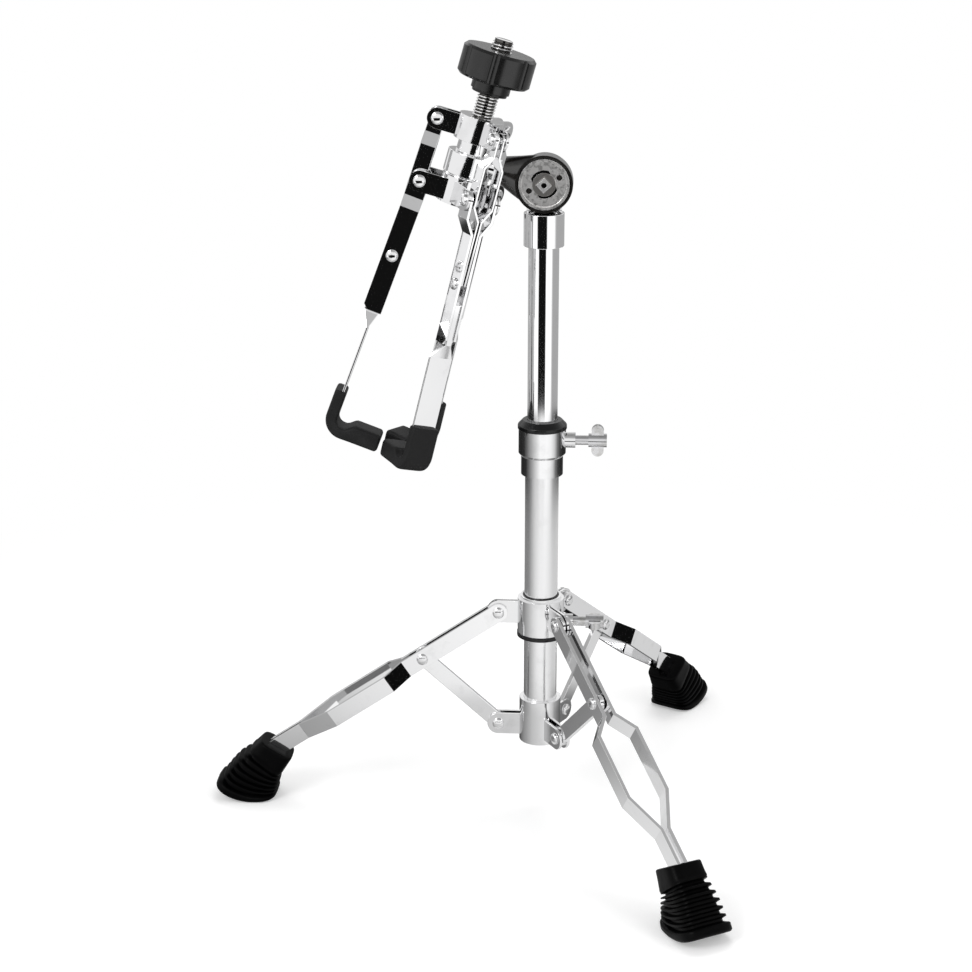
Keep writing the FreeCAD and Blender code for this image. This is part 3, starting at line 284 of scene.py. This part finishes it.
# moulded blacks: nylon bushes, the knob, the boots and the darker feet
blackNylon = {"colour": (0.0018, 0.0018, 0.002), "pale": (0.005, 0.005, 0.0053), "gloss": (0.12, 0.22),
              "shine": 0.4, "cloud": 110.0, "grain": 1400.0, "pores": 420.0, "depth": 0.000008}
knobPlastic = {"colour": (0.003, 0.003, 0.0031), "pale": (0.009, 0.0088, 0.0086), "gloss": (0.12, 0.2),
               "shine": 0.55, "cloud": 80.0, "grain": 1700.0, "pores": 500.0, "depth": 0.00001}
bootRubber = {"colour": (0.0095, 0.0095, 0.0098), "pale": (0.018, 0.018, 0.0185), "gloss": (0.42, 0.6),
              "shine": 0.2, "cloud": 48.0, "grain": 1100.0, "pores": 330.0, "depth": 0.00005}
footRubber = {"colour": (0.0007, 0.0007, 0.0008), "pale": (0.002, 0.002, 0.0021), "gloss": (0.26, 0.42),
              "shine": 0.06, "cloud": 48.0, "grain": 1100.0, "pores": 330.0, "depth": 0.00005}
mouldSkin = {"paleEdge": (0.46, 0.76), "grainHaze": 0.06, "poreDepth": 1.5}  # pore depth in grain depths


def makeMoulded(name, shape, skin):
    made = Finish(name, {"Specular IOR Level": shape["shine"]})
    cloud = made.noise(shape["cloud"], detail=5.0, rough=0.62)
    grain = made.noise(shape["grain"])
    pores = made.noise(shape["pores"])
    low, high = shape["gloss"]
    made.set("Roughness", low + (high - low) * cloud + skin["grainHaze"] * grain)
    made.set("Base Color", made.blend(made.ramp(cloud, *skin["paleEdge"]), shape["colour"], shape["pale"]))
    soft = made.bump(pores, skin["poreDepth"] * shape["depth"])
    made.set("Normal", made.bump(grain, shape["depth"], under=soft))
    return made.material


tubePlate = makeTubeChrome("tubeChrome", tubeChrome, drawnSteel)
satinPlate = makeTubeChrome("satinTube", satinTube, drawnSteel)
barPlate = makeBarChrome(barChrome)
castPlate = makeCastChrome(castChrome)
capPlate = makeCapChrome(capChrome)
zincPlate = makeZincSteel("zincSteel", zincSteel, zincSkin)
threadPlate = makeZincSteel("threadSteel", threadSteel, zincSkin)
enamel = makeBlackEnamel(blackEnamel)
oiledSteel = makeBlackSteel(blackSteel)
nylon = makeMoulded("blackNylon", blackNylon, mouldSkin)
knobBlack = makeMoulded("knobPlastic", knobPlastic, mouldSkin)
bootBlack = makeMoulded("bootRubber", bootRubber, mouldSkin)
footBlack = makeMoulded("footRubber", footRubber, mouldSkin)
print("finishes made")

# which finish each CAD node takes; the bars, links and braces that aren't named are plated bar
nodeFinish = {
    "base_tube": satinPlate, "mast_tube": tubePlate, "tilter_sleeve": tubePlate,
    "base_hub": castPlate, "height_collar": castPlate, "leg_collar": castPlate,
    "tilter_base": castPlate, "tilter_ferrule": castPlate, "basket_hub": castPlate,
    "arm_collar": castPlate, "spreader_collar": castPlate,
    "height_wing_screw": zincPlate, "leg_wing_screw": zincPlate, "tilter_wing_nut": zincPlate,
    "brace_rivets": castPlate, "leg_rivets": castPlate, "arm_rivets": castPlate, "link_rivets": castPlate,
    "tilter_bolt": capPlate, "tilter_washer": zincPlate, "threaded_rod": zincPlate,
    "tilter_arm": enamel, "set_screws": oiledSteel,
    "height_bush": nylon, "leg_collar_bush": nylon, "friction_disc": nylon,
    "knob_washer": nylon, "height_pad": nylon, "leg_pad": nylon, "knob": knobBlack,
}
edgeRound = {  # bevel on the edges in metres, by finish
    tubePlate: 0.0004, satinPlate: 0.0004, barPlate: 0.0005, castPlate: 0.0005, capPlate: 0.0004,
    zincPlate: 0.0003, enamel: 0.0008, oiledSteel: 0.0002, nylon: 0.0005, knobBlack: 0.0009,
    bootBlack: 0.0012, footBlack: 0.0008,
}


def finishOf(name):
    if name in nodeFinish:
        return nodeFinish[name]
    if name.endswith("_foot"):
        return footBlack
    if name.endswith("_boot"):
        return bootBlack
    if name.endswith("rivet"):
        return castPlate
    return barPlate


def smoothGroup(name, sharp):  # shades smooth, with a crease wherever faces meet at more than this angle
    group = bpy.data.node_groups.new(name, "GeometryNodeTree")
    group.interface.new_socket("Geometry", in_out="INPUT", socket_type="NodeSocketGeometry")
    group.interface.new_socket("Geometry", in_out="OUTPUT", socket_type="NodeSocketGeometry")
    start = group.nodes.new("NodeGroupInput")
    end = group.nodes.new("NodeGroupOutput")
    faces = group.nodes.new("GeometryNodeSetShadeSmooth")
    faces.domain = "FACE"
    edges = group.nodes.new("GeometryNodeSetShadeSmooth")
    edges.domain = "EDGE"
    angle = group.nodes.new("GeometryNodeInputMeshEdgeAngle")
    flat = group.nodes.new("FunctionNodeCompare")
    flat.data_type = "FLOAT"
    flat.operation = "LESS_EQUAL"
    flat.inputs["B"].default_value = math.radians(sharp)
    group.links.new(start.outputs[0], faces.inputs["Geometry"])
    group.links.new(faces.outputs[0], edges.inputs["Geometry"])
    group.links.new(angle.outputs["Unsigned Angle"], flat.inputs["A"])
    group.links.new(flat.outputs["Result"], edges.inputs["Shade Smooth"])
    group.links.new(edges.outputs[0], end.inputs[0])
    return group


creaseAngles = {"round": 48.0, "bar": 7.0}  # degrees; the bars' bends stay crisp
crease = smoothGroup("creaseRound", creaseAngles["round"])
barCrease = smoothGroup("creaseBar", creaseAngles["bar"])
softening = {"weld": 0.000005, "flat": 0.6, "sharp": 34.0, "segments": 2}  # metres and degrees


def soften(piece, width, group, shape):  # rounds the edges and keeps the flats flat
    weld = piece.modifiers.new("weld", "WELD")
    weld.merge_threshold = shape["weld"]
    merge = piece.modifiers.new("flats", "DECIMATE")
    merge.decimate_type = "DISSOLVE"
    merge.angle_limit = math.radians(shape["flat"])
    bevel = piece.modifiers.new("edges", "BEVEL")
    bevel.limit_method = "ANGLE"
    bevel.angle_limit = math.radians(shape["sharp"])
    bevel.width = width
    bevel.segments = shape["segments"]
    bevel.use_clamp_overlap = True
    shade = piece.modifiers.new("shade", "NODES")
    shade.node_group = group
    weight = piece.modifiers.new("normals", "WEIGHTED_NORMAL")
    weight.keep_sharp = True


for name, piece in nodes.items():
    finish = finishOf(name)
    piece.data.materials.clear()
    piece.data.materials.append(finish)
    soften(piece, edgeRound[finish], barCrease if finish == barPlate else crease, softening)
print("CAD nodes dressed")


def addPiece(name, mesh, material, place):  # a piece drawn here, in the frame of its matrix
    data = bpy.data.meshes.new(name)
    mesh.to_mesh(data)
    mesh.free()
    data.materials.append(material)
    piece = bpy.data.objects.new(name, data)
    bpy.context.scene.collection.objects.link(piece)
    shade = piece.modifiers.new("shade", "NODES")
    shade.node_group = crease
    piece.matrix_world = place
    return piece


def turned(degrees, axis):
    return Matrix.Rotation(math.radians(degrees), 4, axis)


def skinRings(rings):  # closed skin over slices that all have the same count of points
    mesh = bmesh.new()
    rows = [[mesh.verts.new(p) for p in ring] for ring in rings]
    count = len(rows[0])
    for first, second in zip(rows, rows[1:]):
        for k in range(count):
            n = (k + 1) % count
            mesh.faces.new((first[k], first[n], second[n], second[k]))
    mesh.faces.new(rows[0][::-1])
    mesh.faces.new(rows[-1])
    bmesh.ops.recalc_face_normals(mesh, faces=mesh.faces)
    return mesh


# the screwed rod of the basket, with a real helix
rodThread = {
    "pitch": 0.0025, "depth": 0.0014, "low": -0.036, "top": 0.1005, "radius": 0.0087, "lean": 16.0,
    "foot": (-0.06056, 0.0, 0.57137), "steps": 40, "runOut": 0.8, "coreShare": 1.02,
    "endRound": (0.0008, 0.0004),
    "profile": ((0.0, 1.0), (0.12, 1.0), (0.4, 0.0), (0.6, 0.0), (0.88, 1.0)),  # shares of turn and crest
}


def makeRod(shape):
    mesh = bmesh.new()
    rings = []
    steps = shape["steps"]
    turns = (shape["top"] - shape["low"]) / shape["pitch"]
    profile = shape["profile"]
    for step in range(int(turns * steps) + 1):
        turn = step / steps
        angle = turn * math.tau
        fade = max(0.0, min(1.0, turn, (turns - turn) / shape["runOut"]))
        ring = []
        for share, crest in profile:
            radius = shape["radius"] - shape["depth"] * (1.0 - crest * fade)
            z = shape["low"] + (turn - 1.0 + share) * shape["pitch"]
            z = min(max(z, shape["low"]), shape["top"])
            ring.append(mesh.verts.new((radius * math.cos(angle), radius * math.sin(angle), z)))
        rings.append(ring)
    for first, second in zip(rings, rings[1:]):
        for k in range(len(profile) - 1):
            mesh.faces.new((first[k], second[k], second[k + 1], first[k + 1]))
    for step in range(len(rings) - steps - 1):  # joins each turn to the next
        a, b = rings[step], rings[step + 1]
        c, d = rings[step + steps], rings[step + steps + 1]
        mesh.faces.new((a[-1], b[-1], d[0], c[0]))
    core = shape["radius"] - shape["depth"] * shape["coreShare"]
    inset, drop = shape["endRound"]
    capRings = []
    for radius, z in ((core, shape["low"]), (core, shape["top"] - drop), (core - inset, shape["top"])):
        ring = []
        for k in range(steps):
            angle = k * math.tau / steps
            ring.append(mesh.verts.new((radius * math.cos(angle), radius * math.sin(angle), z)))
        capRings.append(ring)
    for first, second in zip(capRings, capRings[1:]):
        for k in range(steps):
            n = (k + 1) % steps
            mesh.faces.new((first[k], first[n], second[n], second[k]))
    mesh.faces.new(capRings[-1])
    mesh.faces.new(capRings[0][::-1])
    mesh.normal_update()
    place = Matrix.Translation(shape["foot"]) @ turned(shape["lean"], "Y")
    piece = addPiece("rodThread", mesh, threadPlate, place)
    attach(piece, "basket")
    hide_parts("threaded_rod")


makeRod(rodThread)
print("rod made")

# rubber feet: a collar round the bars, a fan of ribs and a rolling sole; each is drawn in its leg's plane
footShape = {
    "mouth": (0.23316, 0.04705), "lean": 31.5, "tall": 0.05518, "legAngle": 55.9, "around": 96, "boxy": 4.2,
    # half sizes by share of the height, from below the sole to the mouth
    "outer": ((-0.4, 0.0295), (0.1, 0.0285), (0.35, 0.0272), (0.55, 0.0248), (0.7, 0.0208), (0.82, 0.0178),
              (1.0, 0.0152)),
    "inner": ((-0.4, 0.0225), (0.1, 0.0212), (0.35, 0.0198), (0.5, 0.0178), (0.64, 0.0148), (0.8, 0.0150),
              (1.0, 0.0152)),
    "side": ((-0.4, 0.0222), (0.1, 0.0212), (0.4, 0.0196), (0.68, 0.0166), (0.85, 0.0156), (1.0, 0.0152)),
    "neck": (0.7, 0.06), "ribs": 6, "ribDeep": 0.0033, "band": 0.15, "bandProud": 0.0012, "lip": 0.0014,
    "ribEdge": (0.12, 0.36), "ribSteps": 14, "rimRound": (0.0008, 0.0006), "collarProud": 0.0006,
    "soleRings": (0.25, 0.5, 0.75, 0.93),
    "collarRings": (0.04, 0.1, 0.25, 0.45, 0.65, 0.82, 0.9, 0.95, 0.98, 1.0),
    "rollAt": (0.2525, 0.0597), "rollRadius": 0.06,
    "slot": (0.0088, 0.0049), "slotLip": 0.0006, "slotDeep": 0.0155, "slotBoxy": 14.0,
    "turns": {"leg_1": 180.0, "leg_2": -60.0, "leg_3": 60.0},
}


def boxyLoop(count, power):  # evenly spaced points round a square with full corners
    fine = []
    for k in range(count * 40):
        angle = k * math.tau / (count * 40)
        c, s = math.cos(angle), math.sin(angle)
        fine.append((math.copysign(abs(c) ** (2 / power), c), math.copysign(abs(s) ** (2 / power), s)))
    walked = [0.0]
    for first, second in zip(fine, fine[1:] + fine[:1]):
        walked.append(walked[-1] + math.dist(first, second))
    loop, spot = [], 0
    for k in range(count):
        while walked[spot] < walked[-1] * k / count:
            spot += 1
        loop.append(fine[spot % len(fine)])
    return loop


def along(table, share):  # size at a share, from a table
    for (low, first), (high, second) in zip(table, table[1:]):
        if share <= high:
            break
    part = min(1.0, max(0.0, (share - low) / (high - low)))
    return first + (second - first) * part


def ease(value, low, high):
    part = min(1.0, max(0.0, (value - low) / (high - low)))
    return part * part * (3 - 2 * part)


def makeFoot(shape, leg):
    lean = math.radians(shape["lean"])
    axis = Vector((-math.sin(lean), 0.0, math.cos(lean)))
    deep = Vector((math.cos(lean), 0.0, math.sin(lean)))
    wide = Vector((0.0, 1.0, 0.0))
    mouth = Vector((shape["mouth"][0], 0.0, shape["mouth"][1]))
    legAngle = math.radians(shape["legAngle"])
    down = Vector((math.sin(legAngle), 0.0, -math.cos(legAngle)))  # the way the bars go in
    rollX, rollZ = shape["rollAt"]
    loop = boxyLoop(shape["around"], shape["boxy"])

    def ground(x):
        reach = min(abs(x - rollX), shape["rollRadius"] * 0.98)
        return max(0.0, rollZ - math.sqrt(shape["rollRadius"] ** 2 - reach ** 2))

    def spot(share, px, py, less):
        half = along(shape["outer"] if px > 0 else shape["inner"], share) - less
        across = along(shape["side"], share) - less
        return mouth - axis * (shape["tall"] * (1 - share)) + deep * (half * px) + wide * (across * py)

    def soleShare(px, py):  # where a line down the side meets the rolling sole
        low, high = -0.4, 0.7
        for k in range(40):
            middle = (low + high) / 2
            point = spot(middle, px, py, -shape["bandProud"])
            if point.z > ground(point.x):
                high = middle
            else:
                low = middle
        return high

    ends = [soleShare(px, py) for px, py in loop]
    necks = [shape["neck"][0] + shape["neck"][1] * px for px, py in loop]
    rings = []
    rim = [spot(end, px, py, -shape["bandProud"]) for end, (px, py) in zip(ends, loop)]
    middle = sum(rim, Vector()) / len(rim)
    for share in shape["soleRings"]:  # the sole, from its middle outwards
        ring = [middle.lerp(point, share) for point in rim]
        rings.append([Vector((p.x, p.y, ground(p.x))) for p in ring])
    ribSteps = shape["ribSteps"]
    rimIn, rimUp = shape["rimRound"]
    stations = [0.0, 0.25, 0.5, 0.75] + [1.0 + k / ribSteps for k in range(shape["ribs"] * ribSteps + 1)]
    for station in stations:
        ring = []
        for end, neck, (px, py) in zip(ends, necks, loop):
            if station < 1.0:
                share = shape["band"] * station
                less = -shape["bandProud"] + rimIn * (1 - ease(station, 0.0, 0.25))
            else:
                rib = station - 1.0
                share = shape["band"] + (1 - shape["band"]) * rib / shape["ribs"]
                part = rib - math.floor(rib)
                less = shape["ribDeep"] * ease(min(part, 1 - part), *shape["ribEdge"])
                less -= shape["bandProud"] * (1 - ease(rib, 0.0, 0.2))
            lift = rimUp * (1 - ease(station, 0.0, 0.25)) / shape["tall"]
            ring.append(spot(end + (neck - end) * share + lift, px, py, less))
        rings.append(ring)
    for share in shape["collarRings"]:  # the collar
        ring = []
        for neck, (px, py) in zip(necks, loop):
            fillet = 1 - math.sqrt(1 - max(0.0, (share - 0.9) / 0.1) ** 2)
            less = shape["lip"] * fillet - shape["collarProud"] * ease(share, 0.0, 0.1)
            ring.append(spot(neck + (1 - neck) * share, px, py, less))
        rings.append(ring)
    mouthLoop = boxyLoop(shape["around"], shape["slotBoxy"])
    slotDepth, slotWidth = shape["slot"]
    slotRing = [mouth + deep * (slotDepth * px) + wide * (slotWidth * py) for px, py in mouthLoop]
    rings.append([a.lerp(b, 0.5) for a, b in zip(rings[-1], slotRing)])
    rings.append(slotRing)
    rings.append([p + down * shape["slotLip"] for p in slotRing])
    rings.append([p + down * shape["slotDeep"] for p in slotRing])
    piece = addPiece(leg + "_footPad", skinRings(rings), footBlack, turned(shape["turns"][leg], "Z"))
    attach(piece, leg)
    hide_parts(leg + "_foot")


for leg in footShape["turns"]:
    makeFoot(footShape, leg)
print("feet made")

# rubber boots on the basket arms: a bent cover with a thicker toe, drawn in its arm's plane
bootShape = {
    "outside": 0.0055, "wall": 0.01, "top": -0.1905, "end": -0.231, "reach": -0.045, "bend": 0.017,
    "toe": 0.0158, "toeFrom": (-0.022, -0.013), "half": 0.012, "around": 72, "boxy": 6.0,
    "toeRound": 0.003, "lipRound": 0.0016,
    "slot": (0.0012, 0.0108), "slotAt": -0.0015, "slotDeep": 0.008, "slotBoxy": 14.0,
    "basket": (-0.06056, 0.0, 0.57137), "lean": 16.0, "pivot": (0.0345, 0.0, -0.0253), "fold": 4.73,
    "turns": {"arm_1": 180.0, "arm_2": -60.0, "arm_3": 60.0},
}


def makeBoot(shape, arm):
    outside, end, bend, wall = shape["outside"], shape["end"], shape["bend"], shape["wall"]
    bendX, bendZ = outside - bend, end + bend
    loop = boxyLoop(shape["around"], shape["boxy"])
    rings = []

    def section(inner, outer, less):  # one slice between an inner and an outer point of the side view
        middle = (inner + outer) / 2
        way = (outer - inner).normalized()
        thick = (outer - inner).length / 2 - less
        across = shape["half"] - less
        return [middle + way * (thick * px) + Vector((0.0, across * py, 0.0)) for px, py in loop]

    def toeSlice(x, less):
        thick = shape["toe"] + (wall - shape["toe"]) * ease(x, *shape["toeFrom"])
        return section(Vector((x, 0.0, end + thick)), Vector((x, 0.0, end)), less)

    tip = toeSlice(shape["reach"], shape["toeRound"])
    middle = sum(tip, Vector()) / len(tip)
    for share in (0.4, 0.75):
        rings.append([middle.lerp(point, share) for point in tip])
    for k in range(6):
        angle = k * math.pi / 10
        depth = shape["toeRound"] * (1 - math.cos(angle))
        rings.append(toeSlice(shape["reach"] + depth, shape["toeRound"] * (1 - math.sin(angle))))
    start = shape["reach"] + shape["toeRound"]
    for k in range(1, 16):
        rings.append(toeSlice(start + (bendX - start) * k / 15, 0.0))
    for k in range(1, 15):  # round the bend and up
        angle = math.pi / 2 * (1 - k / 14)
        way = Vector((math.cos(angle), 0.0, -math.sin(angle)))
        centre = Vector((bendX, 0.0, bendZ))
        rings.append(section(centre + way * (bend - wall), centre + way * bend, 0.0))
    lip = shape["lipRound"]
    for k in range(1, 6):
        z = bendZ + (shape["top"] - lip - bendZ) * k / 5
        rings.append(section(Vector((outside - wall, 0.0, z)), Vector((outside, 0.0, z)), 0.0))
    for k in range(1, 5):
        angle = k * math.pi / 8
        z = shape["top"] - lip * (1 - math.sin(angle))
        less = lip * (1 - math.cos(angle))
        rings.append(section(Vector((outside - wall, 0.0, z)), Vector((outside, 0.0, z)), less))
    thin, wide = shape["slot"]
    square = boxyLoop(shape["around"], shape["slotBoxy"])
    mouth = [Vector((shape["slotAt"] + thin * px, wide * py, shape["top"])) for px, py in square]
    rings.append(mouth)
    rings.append([p - Vector((0.0, 0.0, shape["slotDeep"])) for p in mouth])
    place = Matrix.Translation(shape["basket"]) @ turned(shape["lean"], "Y")
    place = place @ turned(shape["turns"][arm], "Z") @ Matrix.Translation(shape["pivot"])
    place = place @ turned(-shape["fold"], "Y")
    piece = addPiece(arm + "_bootCover", skinRings(rings), bootBlack, place)
    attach(piece, arm)
    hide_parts(arm + "_boot")


for arm in bootShape["turns"]:
    makeBoot(bootShape, arm)
print("boots made")

# white floor that fades into the white surround, and glowing cards that only reflections see, whose levels
# are painted reflections
studio = {"floorRadius": 1.15, "floorAt": -0.0002, "floorSides": 96, "floorWhite": 0.8, "floorGlow": 0.3,
          "floorFade": (0.45, 0.95), "worldDiffuse": 0.6}
cards = {  # painted reflection: level of the floor card by degrees from the camera's side, right positive, in rings outwards
    "inner": ((-180, 0.07), (-144, 0.06), (-116, 0.2), (-92, 0.32), (-74, 0.4), (-56, 0.5), (-41, 0.6),
              (-11, 0.7), (17, 0.8), (47, 0.98), (65, 0.7), (85, 0.4), (105, 0.25), (130, 0.16), (180, 0.07)),
    "near": ((-180, 0.03), (-162, 0.05), (-140, 0.2), (-115, 0.24), (-90, 0.28), (-60, 0.54), (-35, 0.82),
             (-10, 0.99), (25, 1.02), (50, 0.92), (90, 0.72), (120, 0.7), (140, 0.68), (160, 0.08),
             (180, 0.03)),
    "middle": ((-180, 0.4), (-140, 0.25), (-115, 0.24), (-90, 0.28), (-60, 0.54), (-35, 0.82), (-10, 0.99),
               (25, 1.02), (50, 0.92), (90, 0.72), (120, 0.68), (150, 0.7), (180, 0.4)),
    "outer": ((-180, 0.05), (-125, 0.02), (-95, 0.03), (-75, 0.16), (-50, 0.45), (-28, 0.8), (-8, 1.15),
              (25, 1.15), (45, 1.05), (62, 0.75), (80, 0.2), (98, 0.05), (125, 0.02), (180, 0.05)),
    "far": ((-180, 0.42), (-76, 0.46), (-62, 1.25), (-38, 1.25), (-33, 0.006), (17, 0.006), (22, 1.25),
            (60, 1.25), (76, 0.42), (180, 0.42)),
    "rings": ((0.21, 0.29), (0.47, 0.55), (0.8, 0.98), (1.24, 1.3)), "reach": (0.09, 9.0), "lift": 0.0004,
    "backLevel": 0.42, "backAt": 3.0, "backLow": 0.02, "backHigh": 1.25, "backFrom": 105.0, "backSides": 16,
    "flagAt": (1.23, -0.8, 0.485), "flagSize": (0.42, 0.36), "flagLevel": 0.004,
    "roof": ((0.0, 0.34), (0.24, 0.36), (0.5, 0.46), (0.72, 0.6), (1.0, 1.0)), "roofAt": 3.0, "roofWide": 4.2,
    "sides": 48,
}


def addStage(name, corners, material, facets=None):
    mesh = bmesh.new()
    points = [mesh.verts.new(c) for c in corners]
    for facet in facets or [range(len(points))]:
        mesh.faces.new([points[k] for k in facet])
    data = bpy.data.meshes.new(name)
    mesh.to_mesh(data)
    mesh.free()
    data.materials.append(material)
    made = bpy.data.objects.new(name, data)
    bpy.context.scene.collection.objects.link(made)
    return made


def circle(radius, z, sides):
    angles = [k * math.tau / sides for k in range(sides)]
    return [(radius * math.cos(angle), radius * math.sin(angle), z) for angle in angles]


def makeFloor(shape):
    paper = Finish("floorPaper", {"Roughness": 0.9, "Specular IOR Level": 0.0, "Emission Strength": 1.0})
    level = shape["floorWhite"]
    paper.set("Base Color", (level, level, level))
    seen = paper.node("ShaderNodeLightPath", out="Is Camera Ray")
    shown = seen.atLeast(paper.node("ShaderNodeLightPath", out="Is Transmission Ray"))
    glow = shape["floorGlow"]
    paper.set("Emission Color", paper.blend(shown, (0.0, 0.0, 0.0), (glow, glow, glow)))
    away = paper.node("ShaderNodeVectorMath", {"operation": "LENGTH"}, {0: paper.place}, "Value")
    edge = paper.ramp(away, *shape["floorFade"]) * shown  # the far floor is plain white to the camera
    white = paper.node("ShaderNodeEmission", None, {"Color": (1.0, 1.0, 1.0), "Strength": 1.0})
    lit = Wire(paper, paper.shader.outputs[0])
    mix = paper.node("ShaderNodeMixShader", None, {0: edge, 1: lit, 2: white})
    paper.tree.links.new(mix.socket, paper.output.inputs["Surface"])
    rim = circle(shape["floorRadius"], shape["floorAt"], shape["floorSides"])
    addStage("studioFloor", rim, paper.material)


def hideCard(card):  # only reflections see it
    card.visible_camera = False
    card.visible_diffuse = False
    card.visible_shadow = False
    card.visible_transmission = False


def cardPaint(name, level=0.0):
    return Finish(name, {"Base Color": (0.0, 0.0, 0.0), "Roughness": 1.0, "Specular IOR Level": 0.0,
                         "Emission Color": (level, level, level), "Emission Strength": 1.0})


def makeFloorCard(shape):
    paint = cardPaint("floorCard")
    axes = paint.node("ShaderNodeSeparateXYZ", None, {0: paint.place}, "X")
    depth = Wire(paint, axes.socket.node.outputs["Y"])
    bearing = paint.node("ShaderNodeMath", {"operation": "ARCTAN2"}, {0: axes, 1: depth * -1.0})
    bearing = bearing * (0.5 / math.pi) + 0.5
    away = paint.node("ShaderNodeVectorMath", {"operation": "LENGTH"}, {0: paint.place}, "Value")
    tone = None
    for zone, limits in zip(("inner", "near", "middle", "outer", "far"), (None,) + shape["rings"]):
        stops = [(angle / 360.0 + 0.5, level) for angle, level in shape[zone]]
        layer = paint.node("ShaderNodeValToRGB", {"stops": stops}, {0: bearing})
        tone = layer if tone is None else paint.blend(paint.ramp(away, *limits), tone, layer)
    paint.set("Emission Color", tone)
    sides = shape["sides"]
    hole, edge = [circle(radius, shape["lift"], sides) for radius in shape["reach"]]
    facets = [(k, k + sides, (k + 1) % sides + sides, (k + 1) % sides) for k in range(sides)]
    hideCard(addStage("floorCard", hole + edge, paint.material, facets))


def makeBackCard(shape):  # glowing grey card behind the stand that only reflections see, a painted reflection on the top edges of the bars
    steps, corners = shape["backSides"], []
    for k in range(steps + 1):
        angle = math.radians(-90.0 + shape["backFrom"] + (360.0 - 2 * shape["backFrom"]) * k / steps)
        x, y = shape["backAt"] * math.cos(angle), shape["backAt"] * math.sin(angle)
        corners += [(x, y, shape["backLow"]), (x, y, shape["backHigh"])]
    facets = [(2 * k, 2 * k + 1, 2 * k + 3, 2 * k + 2) for k in range(steps)]
    hideCard(addStage("backCard", corners, cardPaint("backCard", shape["backLevel"]).material, facets))


def makeFlag(shape):  # small black card that only reflections see, a painted dark reflection in the bends of the leg bars
    spot = Vector(shape["flagAt"])
    side = Vector((spot.y, -spot.x, 0.0)).normalized() * (shape["flagSize"][0] / 2)
    up = Vector((0.0, 0.0, shape["flagSize"][1] / 2))
    corners = [spot - side - up, spot + side - up, spot + side + up, spot - side + up]
    hideCard(addStage("blackFlag", corners, cardPaint("blackFlag", shape["flagLevel"]).material))


def makeRoof(shape):  # glowing greyer card overhead that only reflections see, a painted reflection on the bars' top edges
    paint = cardPaint("roofCard")
    flat = paint.stretched((1.0, 1.0, 0.0))
    away = paint.node("ShaderNodeVectorMath", {"operation": "LENGTH"}, {0: flat}, "Value")
    share = away * (1.0 / shape["roofWide"])
    paint.set("Emission Color", paint.node("ShaderNodeValToRGB", {"stops": shape["roof"]}, {0: share}))
    rim = circle(shape["roofWide"], shape["roofAt"], shape["sides"])
    hideCard(addStage("roofCard", rim, paint.material))


lamps = {  # place, what it points at, width and height, power, whether plating mirrors it
    "keyBox": ((-1.5, -1.7, 2.0), (0.0, 0.0, 0.35), (1.1, 1.1), 24.0, True),
    "fillBox": ((1.9, -1.1, 1.5), (0.0, 0.0, 0.35), (0.9, 1.3), 12.0, False),
    "topBox": ((0.2, 0.9, 2.4), (0.0, 0.0, 0.3), (1.4, 1.0), 14.0, False),
}


def makeLamp(name, place, target, size, power, mirrored):
    lamp = bpy.data.lights.new(name, "AREA")
    lamp.shape = "RECTANGLE"
    lamp.size, lamp.size_y = size
    lamp.energy = power
    made = bpy.data.objects.new(name, lamp)
    bpy.context.scene.collection.objects.link(made)
    made.location = place
    made.rotation_euler = (Vector(target) - Vector(place)).to_track_quat("-Z", "Y").to_euler()
    made.visible_glossy = mirrored


def makeWorld(shape):
    world = bpy.data.worlds.new("studioWhite")
    bpy.context.scene.world = world
    sky = Finish("studioWhite", None, world)
    seen = sky.node("ShaderNodeLightPath", out="Is Camera Ray")
    shine = sky.node("ShaderNodeLightPath", out="Is Glossy Ray")
    through = sky.node("ShaderNodeLightPath", out="Is Transmission Ray")
    plain = (1.0, 1.0, 1.0)
    soft = sky.node("ShaderNodeBackground", None, {"Color": plain, "Strength": shape["worldDiffuse"]})
    white = sky.node("ShaderNodeBackground", None, {"Color": plain, "Strength": 1.0})
    shown = seen.atLeast(shine).atLeast(through)
    mix = sky.node("ShaderNodeMixShader", None, {0: shown, 1: soft, 2: white})
    end = sky.tree.nodes.new("ShaderNodeOutputWorld")
    sky.tree.links.new(mix.socket, end.inputs["Surface"])


makeFloor(studio)
makeWorld(studio)
makeFloorCard(cards)
makeBackCard(cards)
makeFlag(cards)
makeRoof(cards)
for name, lamp in lamps.items():
    makeLamp(name, *lamp)
print("studio lit")

# the photograph's view
shot = {"place": (0.0525, -1.6998, 0.8476), "yaw": -0.0588, "pitch": 0.3145, "focal": 2101.7,
        "frame": 972.0, "sensor": 36.0}  # focal length and frame in pixels


def makeCamera(shape):
    lens = bpy.data.cameras.new("shotCamera")
    lens.sensor_width = shape["sensor"]
    lens.lens = shape["focal"] * shape["sensor"] / shape["frame"]
    lens.clip_end = 50.0
    camera = bpy.data.objects.new("shotCamera", lens)
    bpy.context.scene.collection.objects.link(camera)
    camera.location = shape["place"]
    camera.rotation_euler = (math.pi / 2 - shape["pitch"], 0.0, -shape["yaw"])
    bpy.context.scene.camera = camera


makeCamera(shot)
bpy.context.scene.view_settings.view_transform = "Standard"
print("camera set")
